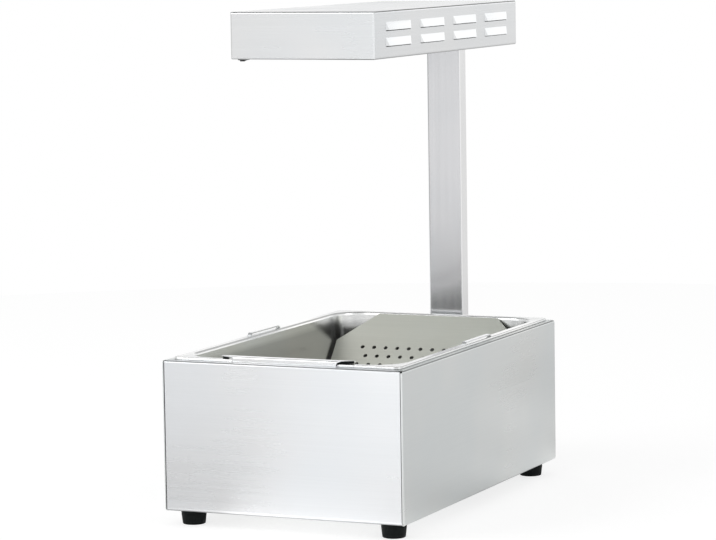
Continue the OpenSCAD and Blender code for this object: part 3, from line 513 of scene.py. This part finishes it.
def make_pan():
    low, high = box_of("food_pan")
    half = ((high.x - low.x) / 2 / MM, (high.y - low.y) / 2 / MM)
    mouth = grow(half, -RIM_W)
    floor = (low.z - high.z) / MM + WALL
    rings = pan_side(mouth, floor, WALL) + pan_rim(mouth, half) + pan_side(mouth, floor, 0)[::-1]
    centre = Vector(((low.x + high.x) / 2, (low.y + high.y) / 2, high.z))
    solid = skin([[centre + MM * Vector(p) for p in rounded_ring(*ring, CORNER_STEPS)] for ring in rings])
    add_piece("pan_drawn", "pan", solid, pan_steel, ["food_pan"], sharp=60.0)


make_pan()


# Lamp filaments: a coil in each tube, in short straight steps, with a straight tail at each end
WIRE_R, COIL_PITCH, TAIL = 0.22 * MM, 1.5 * MM, 12 * MM
PER_TURN = 12


def coil(x, z, y0, y1, radius):
    count = int((y1 - y0) / COIL_PITCH) * PER_TURN
    return [(x + radius * math.cos(TURN * i / PER_TURN), y0 + (y1 - y0) * i / count,
             z + radius * math.sin(TURN * i / PER_TURN)) for i in range(count + 1)]


def make_filaments():
    low, high = box_of("lamp_filaments")
    radius = (high.z - low.z) / 2
    z = (low.z + high.z) / 2
    parts = []
    for x in (low.x + radius, high.x - radius):
        parts.append(sweep(coil(x, z, low.y + TAIL, high.y - TAIL, radius - WIRE_R), WIRE_R, 5))
        for start, end in ((low.y, low.y + TAIL), (high.y - TAIL, high.y)):
            parts.append(sweep([(x, start, z), (x, end, z)], 2 * WIRE_R, 8))
    add_piece("lamp_coils", "base", joined(parts), filament, ["lamp_filaments"])


make_filaments()


# Lamp guard: round plated rods, the long ones under the cross rods
ROD_R, CROSS_RODS = 1.25 * MM, 9
# How far in the outer long rods lie, how much sooner the others end, and where the cross rods begin and end
ROD_IN, ROD_SHORT, CROSS_FIRST, CROSS_LAST = 1.5 * MM, 15.3 * MM, 24 * MM, 27.3 * MM


def make_guard():
    low, high = box_of("lamp_guard")
    z_long, z_cross = low.z + ROD_R, high.z - ROD_R
    spread = high.x - ROD_IN
    parts = []
    for i in range(-2, 3):
        reach = high.y if abs(i) == 2 else high.y - ROD_SHORT
        x = i * spread / 2
        parts.append(sweep([(x, low.y, z_long), (x, reach, z_long)], ROD_R, 16))
    first, last = low.y + CROSS_FIRST, high.y - CROSS_LAST
    for i in range(CROSS_RODS):
        y = first + (last - first) * i / (CROSS_RODS - 1)
        parts.append(sweep([(low.x, y, z_cross), (high.x, y, z_cross)], ROD_R, 16))
    add_piece("guard_rods", "base", joined(parts), wire, ["lamp_guard"])


make_guard()


# Moulded feet with a shallow groove, in millimetres, and their screws
FOOT_TAPER, FOOT_EDGE, FOOT_TOP_EDGE, GROOVE = 1.75, 1.6, 1.2, 0.35


def make_foot(node):
    low, high = box_of(node)
    h = (high.z - low.z) / MM
    top = (high.x - low.x) / 2 / MM
    base = top - FOOT_TAPER
    lean = (top - base) / (h - 3)
    outer = [(base - FOOT_EDGE * (1 - math.sin(a)), FOOT_EDGE * (1 - math.cos(a))) for a in steps(0, 90, 5)]
    outer += [(base + lean * z - dip, z) for z, dip in ((h - 6.2, 0), (h - 5.8, GROOVE), (h - 5.2, GROOVE),
                                                        (h - 4.8, 0), (h - 1.4, 0))]
    outer += [(top - FOOT_TOP_EDGE * (1 - math.cos(a)), h - FOOT_TOP_EDGE * (1 - math.sin(a)))
              for a in steps(0, 90, 5)]
    inner = [(2.75, h), (2.75, 9.0), (5.4, 9.0), (6.0, 8.4), (6.0, 0.6), (6.6, 0.0)]
    x, y, _ = middle(low, high)
    solid = turned(outer + inner, even_angles(64), stand((x, y, low.z)), closed=True)
    add_piece(node + "_moulded", "base", solid, rubber, [node])


for corner in ("front_left", "front_right", "rear_left", "rear_right"):
    make_foot("foot_" + corner)


def thread_radius(z, crest, rise, pitch):
    """Outline of a screw thread at a height: it goes round once in a pitch."""
    return lambda a: crest - rise * abs(2 * ((z / pitch + a / TURN) % 1) - 1)


def recess_radius(arm, half_width):
    """Outline of a cross recess: its distance from the middle at an angle."""
    def radius(a):
        fold = abs((a + math.pi / 4) % (math.pi / 2) - math.pi / 4)
        return min(arm / math.cos(fold), half_width / max(math.sin(fold), 1e-6))
    return radius


# A pan head screw's head and recess, as parts of its diameter
HEAD_R, HEAD_H, RECESS_ARM, RECESS_HALF = 0.95, 0.55, 0.52, 0.13
THREAD_STEPS = 6


def screw(d, length, place, pitch):
    """A pan head screw with a cross recess and a thread, pointing down from its head's underside."""
    half_width, arm, head = RECESS_HALF * d, RECESS_ARM * d, HEAD_R * d
    tip = math.atan2(half_width, arm)
    angles = sorted((quarter * math.pi / 2 + a) for quarter in range(4)
                    for a in (-math.pi / 4, -math.pi / 6, -tip, 0, tip, math.pi / 6))
    profile = [(0.3 * d, -length), (0.4 * d, -length + 0.1 * d)]
    for i in range(int((length - 0.4 * d) / pitch * THREAD_STEPS) + 1):
        z = -length + 0.1 * d + i * pitch / THREAD_STEPS
        profile.append((thread_radius(z, d / 2, 0.09 * d, pitch), z))
    profile += [(d / 2, 0.02 - 0.1 * d), (d / 2, 0), (0.9 * d, 0), (head, 0.04 * d), (head, 0.14 * d)]
    profile += [(head * math.cos(a) ** 0.7, 0.14 * d + 0.41 * d * math.sin(a)) for a in steps(12, 50, 4)]
    profile += [(0.6 * d, 0.52 * d), (0.56 * d, 0.545 * d), (recess_radius(arm, half_width), HEAD_H * d),
                (recess_radius(0.44 * d, 0.11 * d), 0.24 * d)]
    return turned(profile, angles, place)


def screw_group(node, d, head_down=False):
    """Screws at the corners of the node's box, with their heads at the back or underneath."""
    low, high = box_of(node)
    head, rise = HEAD_R * d * MM, HEAD_H * d * MM
    across = (low.x + head, high.x - head)
    if head_down:
        length, pitch = high.z - low.z - rise, 0.8
        places = [stand((x, y, low.z + rise), 180) for x in across for y in (low.y + head, high.y - head)]
    else:
        length, pitch = high.y - low.y - rise, 0.7
        places = [stand((x, high.y - rise, z), -90) for x in across for z in (low.z + head, high.z - head)]
    parts = [screw(d, length / MM, place, pitch) for place in places]
    add_piece(node + "_threaded", "base", joined(parts), zinc, [node])


screw_group("foot_screws", 5.0, head_down=True)
for name in ("bracket_screws", "post_screws", "hood_screws"):
    screw_group(name, 4.0)


# Grips: straps bent from flat bar, and a folded hand piece on three welded feet
GRIP_T = 1.5 * MM
STRAP_FOOT, STRAP_BEND = 2.2 * MM, 1.1 * MM
# The hand piece: half its length at the front, its bend and edge radii, and its feet
FRONT_HALF, FRONT_BEND, FRONT_EDGE = 73 * MM, 2.2 * MM, 0.3 * MM
FRONT_FEET, FEET_HALF, FEET_H, FEET_BACK = 43 * MM, 4.5 * MM, 2.4 * MM, 4 * MM


def make_side_grip(node):
    low, high = box_of(node)
    x = (low.x + high.x) / 2
    z0, z1 = low.z + GRIP_T / 2, high.z - GRIP_T / 2
    half = [(low.y, z0), (low.y + STRAP_FOOT, z0), (low.y + STRAP_FOOT + z1 - z0, z1)]
    path = half + [(low.y + high.y - y, z) for y, z in reversed(half)]
    solid = strap(fillet([(x, y, z) for y, z in path], STRAP_BEND), (1, 0, 0), high.x - low.x, GRIP_T)
    add_piece(node + "_bent", "pan", solid, grip_steel, [node])


def make_front_grip():
    low, high = box_of("grip_front")
    outer, inner = FRONT_BEND, FRONT_BEND - GRIP_T
    back_half = (high.x - low.x) / 2
    loop = [(low.y, low.z), (low.y + GRIP_T, low.z), (low.y + GRIP_T, high.z - 2 * outer)]
    loop += [(low.y + outer - inner * math.cos(a), high.z - outer + inner * math.sin(a))
             for a in steps(0, 90, 4)]
    loop += [(high.y, high.z - GRIP_T), (high.y, high.z), (high.y - 2 * MM, high.z)]
    loop += [(low.y + outer - outer * math.sin(a), high.z - outer + outer * math.cos(a))
             for a in steps(0, 90, 8)]
    bends = [(FRONT_EDGE * (1 - math.sin(a)), FRONT_EDGE * (1 - math.cos(a))) for a in steps(0, 90, 2)]
    rings = []
    for sign in (-1, 1):
        for draw_in, back in bends[::-sign]:
            rings.append([Vector((sign * (FRONT_HALF - back + (back_half - FRONT_HALF)
                                          * (y - low.y) / (high.y - low.y)), y, z))
                          for y, z in inset(loop, draw_in)])
    z1 = high.z - GRIP_T
    feet = [block((x - FEET_HALF, low.y + 0.05 * MM, z1 - FEET_H), (x + FEET_HALF, high.y - FEET_BACK, z1),
                  0.8 * MM) for x in (-FRONT_FEET, 0, FRONT_FEET)]
    add_piece("grip_front_folded", "pan", joined([skin(rings)] + feet), grip_steel,
              ["grip_front"])


def make_grip_shade_pads():
    """Black pads standing for painted shadow in the gaps under the front grip's open ends, and a black
    edging down its right end for the shadow line beneath it.
    """
    low, high = box_of("grip_front")
    depth = (high.y - low.y) / MM - 0.6
    z0, z1 = high.z - GRIP_T - 2.3 * MM, high.z - GRIP_T
    right = [(50, 1.8), (73.5, 1.8), (94, depth), (50, depth)]
    left = [(-89, depth - 3), (-84, depth - 3), (-84, depth), (-93.6, depth)]
    parts = [skin([[Vector((x * MM, low.y + y * MM, z)) for x, y in inset(outline, d)]
                   for z, d in ((z0, 0.3), (z0 + 0.3 * MM, 0), (z1, 0))]) for outline in (right, left)]
    edge = [(74.0, 0.8, low.z + 0.9 * MM), (75.0, 0.8, high.z - 2.9 * MM), (79.0, 4.0, high.z - 0.9 * MM),
            (94.6, depth - 0.9, high.z - 0.8 * MM)]
    parts.append(sweep(fillet([(x * MM, low.y + y * MM, z) for x, y, z in edge], 2 * MM), 0.8 * MM))
    add_piece("grip_shade_pads", "pan", joined(parts), rubber)


make_side_grip("grip_left")
make_side_grip("grip_right")
make_front_grip()
make_grip_shade_pads()


# Nuts, cable gland and grommet
FOOT_NUT_R, GLAND_NUT_R = 4.6, 11.0
LEAD_BORE = 3.6


def hexagon(corner, limit=1000.0):
    """Outline of a hexagon cut off by a circle: its distance from the middle at an angle."""
    def radius(a):
        return min(corner * math.cos(math.pi / 6) / math.cos(a % (math.pi / 3) - math.pi / 6), limit)
    return radius


def nut(corner, height, bore, place):
    flat, cut = hexagon(corner), hexagon(corner, 0.93 * corner)
    return turned([(cut, 0), (flat, 0.6), (flat, height - 0.6), (cut, height), (bore + 0.4, height),
                   (bore, height - 0.4), (bore, 0.4), (bore + 0.4, 0)], even_angles(72), place, closed=True)


def make_nuts():
    low, high = box_of("foot_nuts")
    dx, dy = FOOT_NUT_R * MM, FOOT_NUT_R * MM * math.cos(math.pi / 6)
    parts = [nut(FOOT_NUT_R, (high.z - low.z) / MM, 2.6, stand((x, y, low.z)))
             for x in (low.x + dx, high.x - dx) for y in (low.y + dy, high.y - dy)]
    add_piece("foot_nuts_hex", "base", joined(parts), zinc, ["foot_nuts"])
    low, high = box_of("gland_nut")
    x, _, z = middle(low, high)
    solid = nut(GLAND_NUT_R, (high.y - low.y) / MM, 8.0, stand((x, high.y, z), 90))
    add_piece("gland_nut_hex", "base", solid, plastic, ["gland_nut"])


def ribbed(radius):
    """Outline of a cap with ribs for the fingers."""
    return lambda a: radius - 0.4 * max(0.0, math.cos(24 * a)) ** 2


def make_gland():
    low, high = box_of("cable_gland")
    corner, bore, top = (high.x - low.x) / 2 / MM, LEAD_BORE, 18.5
    x, _, z = middle(low, high)
    place = stand((x, high.y - top * MM, z), -90)
    start = (low.y - high.y) / MM + top
    flat, cut = hexagon(corner), hexagon(corner, 0.94 * corner)
    profile = [(bore + 0.5, start), (7.1, start)]
    for i in range(int((-0.3 - start - 0.6) / 0.25)):
        z = start + 0.6 + 0.25 * i
        profile.append((thread_radius(z, 7.9, 0.6, 1.5), z))
    profile += [(7.9, -0.1), (7.9, 0), (cut, 0), (flat, 0.6), (flat, 4.4), (cut, 5.0), (8.3, 5.0),
                (8.3, 5.4), (8.7, 5.6), (ribbed(9.0), 6.2), (ribbed(9.0), 12.4), (8.8, 13.2)]
    profile += [(6.4 + 2.4 * math.cos(a), 13.2 + 4.9 * math.sin(a)) for a in steps(15, 75, 4)]
    profile += [(6.2, top - 0.1), (5.9, top), (5.0, top), (4.7, top - 0.3), (4.7, 12.8), (bore, 12.5),
                (bore, start + 0.5)]
    add_piece("gland_turned", "base", turned(profile, even_angles(144), place, closed=True), plastic,
              ["cable_gland"])
    insert = [(4.65, 12.9), (4.65, 17.0), (4.3, 17.4), (3.9, 17.4), (bore, 17.1), (bore, 12.9)]
    add_piece("gland_seal", "base", turned(insert, even_angles(48), place, closed=True), rubber)


def make_grommet():
    low, high = box_of("lead_grommet")
    outer, half, bore = (high.x - low.x) / 2 / MM, (high.y - low.y) / 2 / MM, LEAD_BORE
    side = [(bore, half - 0.4), (bore + 0.4, half), (outer - 1.0, half)]
    side += [(outer - 1.0 + math.sin(a), half - 1.0 + math.cos(a)) for a in steps(0, 90, 5)]
    side += [(outer, 0.75), (outer - 1.7, 0.7)]
    profile = side + [(r, -z) for r, z in reversed(side)]
    solid = turned(profile, even_angles(64), stand(middle(low, high), 90), closed=True)
    add_piece("grommet_turned", "base", solid, rubber, ["lead_grommet"])


make_nuts()
make_gland()
make_grommet()


# Ceramic lamp holders and terminal blocks
HOLDER_HALF, HOLDER_BELOW, HOLDER_BORE = 12.0, 10.0, 6.1
HOLDER_EDGE = 0.8
COLLAR = [(3.3, -2.0), (3.3, 0.8), (2.9, 1.2), (2.4, 1.2), (2.1, 0.9), (2.1, -2.0)]
COLLAR_RISE = 1.2 * MM


def rectangle(left, right, low, high):
    """Outline of a rectangle as its distance from the origin at an angle."""
    def radius(a):
        x, y = math.cos(a), math.sin(a)
        reach = [(right if x > 0 else left) / x] if abs(x) > TINY else []
        reach += [(high if y > 0 else low) / y] if abs(y) > TINY else []
        return min(reach)
    return radius


def make_holders(node):
    low, high = box_of(node)
    length, bore, edge = (high.y - low.y) / MM, HOLDER_BORE, HOLDER_EDGE
    mid = length / 2
    size = (-HOLDER_HALF, HOLDER_HALF, HOLDER_BELOW - (high.z - low.z) / MM, HOLDER_BELOW)
    full = rectangle(*size)
    small = rectangle(*[v - math.copysign(edge, v) for v in size])
    angles = sorted(even_angles(64) + [math.atan2(y, x) % TURN for x in size[:2] for y in size[2:]])
    profile = [(small, 0), (full, edge), (full, mid - 1.6), (small, mid - 1.0), (small, mid + 1.0),
               (full, mid + 1.6), (full, length - edge), (small, length), (bore + edge, length),
               (bore, length - edge), (bore, edge), (bore + edge, 0)]
    parts = [turned(profile, angles, stand((x, low.y, low.z + HOLDER_BELOW * MM), -90), closed=True)
             for x in (low.x + HOLDER_HALF * MM, high.x - HOLDER_HALF * MM)]
    add_piece(node + "_pressed", "base", joined(parts), ceramic, [node])


def make_terminal(node, ways):
    """A block with a notch between each two ways, and a collar round each way's screw."""
    low, high = box_of(node)
    step = (high.x - low.x) / ways
    body_top = high.z - COLLAR_RISE
    mid = Vector(((low.y + high.y) / 2, (low.z + body_top) / 2))
    half = ((high.y - low.y) / 2, (body_top - low.z) / 2)
    rings, collars, heads = [], [], []
    for i in range(ways):
        start = low.x + i * step
        rings += [(start + x * MM, d * MM) for x, d in ((0.0, 1.0), (0.5, 1.0), (1.0, 0.3), (1.4, 0.0))]
        rings += [(start + step - x * MM, d * MM) for x, d in ((1.4, 0.0), (1.0, 0.3), (0.5, 1.0))]
        x = start + step / 2
        collars.append(turned(COLLAR, even_angles(40), stand((x, mid.x, body_top)), closed=True))
        heads.append(screw(2.1, 3.0, stand((x, mid.x, body_top - 0.5 * MM)), 0.5))
    rings.append((high.x, 1.0 * MM))
    body = skin([[(x, mid.x + u, mid.y + v) for u, v, _ in rounded_ring(grow(half, -d), 1.5 * MM, 0)]
                 for x, d in rings])
    add_piece(node + "_block", "base", joined([body] + collars), ceramic, [node])
    add_piece(node + "_heads", "base", joined(heads), zinc)


make_holders("lamp_holders_front")
make_holders("lamp_holders_rear")
make_terminal("hood_terminal", 3)
make_terminal("base_terminal", 4)


# Rocker switch: a bezel with soft edges round a rocker with a dished face
BEZEL_W, NECK_IN, PIVOT_RISE, PIN_R = 1.7 * MM, 1.1 * MM, 1.7 * MM, 1.0 * MM
# In millimetres, how much smaller the rocker is than the bezel and how far its pin stands out, and its lean
ROCKER_IN, PIN_OUT, ROCKER_LEAN = 2.0, 0.85, 8


def make_bezel(low, high, half):
    x, y, _ = middle(low, high)
    neck, hole = grow(half, -NECK_IN), grow(half, -BEZEL_W)
    top = (high.z - low.z) / MM
    rings = [(hole, 0.3, 7.3), (hole, 0.3, 0.4), (grow(hole, 0.4 * MM), 0.5, 0.05),
             (grow(half, -0.7 * MM), 0.7, 0.0)]
    rings += [(grow(half, -0.6 * MM * (1 - math.sin(a))), 1.0, 0.6 * (1 - math.cos(a)))
              for a in steps(15, 90, 4)]
    rings += [(half, 1.0, 1.2), (neck, 0.4, 1.2), (neck, 0.4, top - 0.4), (grow(neck, -0.4 * MM), 0.3, top)]
    solid = skin([[(x + u, y + v, low.z + h * MM) for u, v, _ in rounded_ring(size, r * MM, 0)]
                  for size, r, h in rings])
    add_piece("switch_bezel", "base", solid, plastic, ["switch_body"])


def make_rocker(pivot, half):
    tilt = stand(pivot, ROCKER_LEAN)
    wide, r = half[0] / MM - ROCKER_IN, half[1] / MM - ROCKER_IN
    loop = [(0.86 * r * i / 7, -2.1 - 0.59 * (i / 7) ** 2) for i in range(-7, 8)]
    loop += [(r * math.cos(a), r * math.sin(a)) for a in steps(-27, 33, 8)]
    loop += [(-r * math.cos(a), r * math.sin(a)) for a in steps(33, -27, 8)]
    rings = [[tilt @ (MM * Vector((u, a, b))) for a, b in inset(loop, d)]
             for u, d in ((-wide, 0.4), (0.12 - wide, 0.12), (0.4 - wide, 0), (wide - 0.4, 0),
                          (wide - 0.12, 0.12), (wide, 0.4))]
    reach = Vector((wide + PIN_OUT, 0, 0)) * MM
    pin = sweep([pivot - reach, pivot + reach], PIN_R, 24)
    add_piece("switch_key", "rocker", joined([skin(rings), pin]), plastic,
              ["switch_rocker"])


def make_switch():
    low, high = box_of("switch_body")
    x, y, _ = middle(low, high)
    half = ((high.x - low.x) / 2, (high.y - low.y) / 2)
    make_bezel(low, high, half)
    make_rocker(Vector((x, y, low.z + PIVOT_RISE)), half)


make_switch()


# The floor's size, its glow to the camera and to metal, and how much light it throws back to each
FLOOR_R, FLOOR_SIDES = 2.6, 96
CAMERA_GLOW, GLOSS_GLOW = 0.74, 0.25
CAMERA_DULL, FLOOR_DULL = 0.36, 0.72
# The floor as polished metal shows it: brightness by compass angle from the front, positive to the right
FLOOR_LEVELS = [(-180, 0.75), (-150, 0.65), (-120, 1.0), (-60, 1.05), (-40, 0.88), (-28, 0.89), (-20, 0.95),
                (-15, 1.30), (-9, 1.40), (12, 1.36), (40, 1.0), (60, 0.95), (75, 0.85), (90, 0.72),
                (118, 0.78), (130, 0.90), (143, 0.84), (150, 1.12), (155, 0.78), (180, 0.76)]
# And its brightness from the middle out to its edge, in front of the housing and round the rest of it
FRONT_RINGS = [(0.0, 1.0), (0.14, 1.0), (0.17, 0.76), (0.24, 0.72), (0.32, 0.90), (0.4, 1.02), (0.5, 1.33),
               (0.6, 1.7), (0.72, 1.6), (1.0, 1.2)]
SIDE_RINGS = [(0.0, 1.0), (0.1, 0.98), (0.13, 1.18), (0.17, 1.12), (0.22, 0.85), (0.3, 1.12), (0.38, 1.05),
              (0.45, 0.65), (0.52, 0.85), (0.62, 1.05), (1.0, 1.15)]
# Depths between which the front's rings give way to the others
FRONT_ENDS = (-0.35, -0.2)
# A brighter line along the front panel's foot: its depth, its level and the distances over which it fades
FOOT_LINE, FOOT_LEVEL, FOOT_FADE = 0.34, 1.2, (0.03, 0.06)
# Levels near and far in front, and the distances between which they change
NEAR_LEVEL, FAR_LEVEL, FAR_FADE = 1.0, 0.2, (1.7, 2.0)


def seen_directly(n, seen):
    """1 for what the camera sees, also through glass."""
    return n.calc("MAXIMUM", seen.outputs["Is Camera Ray"], seen.outputs["Is Transmission Ray"])


def make_floor():
    """A plain pale floor that the camera, the metal and the glass see as white and that keeps the shadow."""
    ring = [(FLOOR_R * math.cos(a), FLOOR_R * math.sin(a), 0) for a in even_angles(FLOOR_SIDES)]
    mesh = bpy.data.meshes.new("floor")
    mesh.from_pydata(ring, [], [range(FLOOR_SIDES)])
    floor = bpy.data.objects.new("floor", mesh)
    bpy.context.collection.objects.link(floor)
    n = Nodes.of_material("floor")
    seen = n.add("LightPath")
    camera, gloss = seen.outputs["Is Camera Ray"], seen.outputs["Is Glossy Ray"]

    # What polished metal sees
    place = n.add("TexCoord").outputs["Object"]
    depth = n.axis(place, "Y")
    reach = n.add("VectorMath", {0: place}, operation="LENGTH").outputs["Value"]
    out = n.span(reach, 0.0, 1.0, 0.0, FLOOR_R)
    rings = n.blend(n.span(depth, 1.0, 0.0, *FRONT_ENDS), n.levels(out, SIDE_RINGS),
                    n.levels(out, FRONT_RINGS))
    from_foot = n.calc("ABSOLUTE", n.calc("ADD", depth, FOOT_LINE))
    foot = n.span(from_foot, FOOT_LEVEL, 1.0, *FOOT_FADE)
    ahead = n.span(depth, 1.0, 0.0, -1.0, 0.0)
    # Doubled, since the rings come at half their level
    far = n.span(n.calc("MULTIPLY", reach, ahead), 2 * NEAR_LEVEL, 2 * FAR_LEVEL, *FAR_FADE)
    mirrored = n.times(n.times(n.times(n.compass_band(place, FLOOR_LEVELS), rings), far), foot)

    # What the camera sees
    pale = n.blend(n.span(n.noise(n.position(), 400.0), 0.0, 1.0), grey(0.89), grey(0.91))
    pale = n.blend(camera, pale, grey(CAMERA_DULL))
    diffuse = n.add("BsdfDiffuse", {"Color": n.blend(gloss, pale, n.times(mirrored, 2 * FLOOR_DULL))})
    plain = n.add("Emission", {"Color": WHITE,
                               "Strength": n.calc("MULTIPLY", seen_directly(n, seen), CAMERA_GLOW)})
    shown = n.add("Emission", {"Color": mirrored, "Strength": 2 * GLOSS_GLOW})
    glow = n.add("MixShader", {0: gloss, 1: plain.outputs[0], 2: shown.outputs[0]})
    both = n.add("AddShader", {0: diffuse.outputs[0], 1: glow.outputs[0]})

    # From below the camera sees through it
    under = n.calc("MULTIPLY", n.add("NewGeometry").outputs["Backfacing"], camera)
    clear = n.add("MixShader", {0: under, 1: both.outputs[0], 2: n.add("BsdfTransparent").outputs[0]})
    n.tree.links.new(clear.outputs[0], n.out.inputs[0])
    mesh.materials.append(n.material)


# The studio that the metal sees: brightness by compass angle from the front, positive to the right
STUDIO_LOW = [(-180, 0.90), (-90, 0.70), (-34, 0.58), (-27.6, 0.66), (-23, 1.15), (0, 1.05), (30, 1.0),
              (85, 1.0), (120, 0.75), (156, 0.70), (180, 0.85)]
STUDIO_HIGH = [(-180, 1.15), (-150, 1.1), (-90, 0.75), (-34, 0.66), (-27, 0.8), (-21, 1.0), (0, 1.0),
               (30, 1.0), (100, 0.95), (125, 0.8), (145, 0.85), (151, 1.25), (162, 1.25), (168, 1.15),
               (180, 1.15)]
STUDIO_TOP = [(-180, 0.52), (-145, 0.52), (-110, 0.6), (-50, 1.1), (-28, 1.3), (-12, 1.3), (5, 1.0),
              (110, 0.95), (140, 0.6), (160, 0.5), (180, 0.52)]
ZENITH = 0.42
# Heights of direction between which one part of the studio gives way to the next
LOW_TO_HIGH, HIGH_TO_TOP, TOP_TO_ZENITH = (-0.04, 0.05), (0.24, 0.29), (0.45, 0.8)
AMBIENT = 0.62


def make_world():
    """White to the camera, an even light to dull surfaces, and the studio above to polished ones."""
    world = bpy.data.worlds.new("world")
    bpy.context.scene.world = world
    world.use_nodes = True
    n = Nodes(world.node_tree)
    way = n.add("TexCoord").outputs["Generated"]
    height = n.axis(way, "Z")
    colour = n.compass_band(way, STUDIO_LOW)
    for fade, above in ((LOW_TO_HIGH, n.compass_band(way, STUDIO_HIGH)),
                        (HIGH_TO_TOP, n.compass_band(way, STUDIO_TOP)), (TOP_TO_ZENITH, grey(ZENITH / 2))):
        colour = n.blend(n.span(height, 0.0, 1.0, *fade), colour, above)
    studio = n.add("Background", {"Color": colour, "Strength": 2.0})
    even = n.add("Background", {"Color": WHITE, "Strength": AMBIENT})
    white = n.add("Background", {"Color": WHITE, "Strength": 1.0})
    seen = n.add("LightPath")
    metal = n.add("MixShader", {0: seen.outputs["Is Glossy Ray"], 1: even.outputs[0], 2: studio.outputs[0]})
    shown = n.add("MixShader", {0: seen_directly(n, seen), 1: metal.outputs[0], 2: white.outputs[0]})
    n.tree.links.new(shown.outputs[0], n.add("OutputWorld").inputs[0])


# What the lights are aimed at
LIT_AT = (0, 0, 0.3)


def area_light(name, at, size, power):
    """A square light."""
    data = bpy.data.lights.new(name, "AREA")
    data.shape = "RECTANGLE"
    data.size = data.size_y = size
    data.energy = power
    lamp = bpy.data.objects.new(name, data)
    lamp.location = at
    lamp.rotation_mode = "QUATERNION"
    lamp.rotation_quaternion = (Vector(LIT_AT) - Vector(at)).to_track_quat("-Z", "Y")
    bpy.context.collection.objects.link(lamp)


make_floor()
make_world()
area_light("key", (-2.2, -2.4, 2.6), 1.8, 35)
area_light("fill", (2.6, -1.2, 1.8), 1.5, 8)
make_camera()
bpy.context.scene.view_settings.view_transform = "Standard"
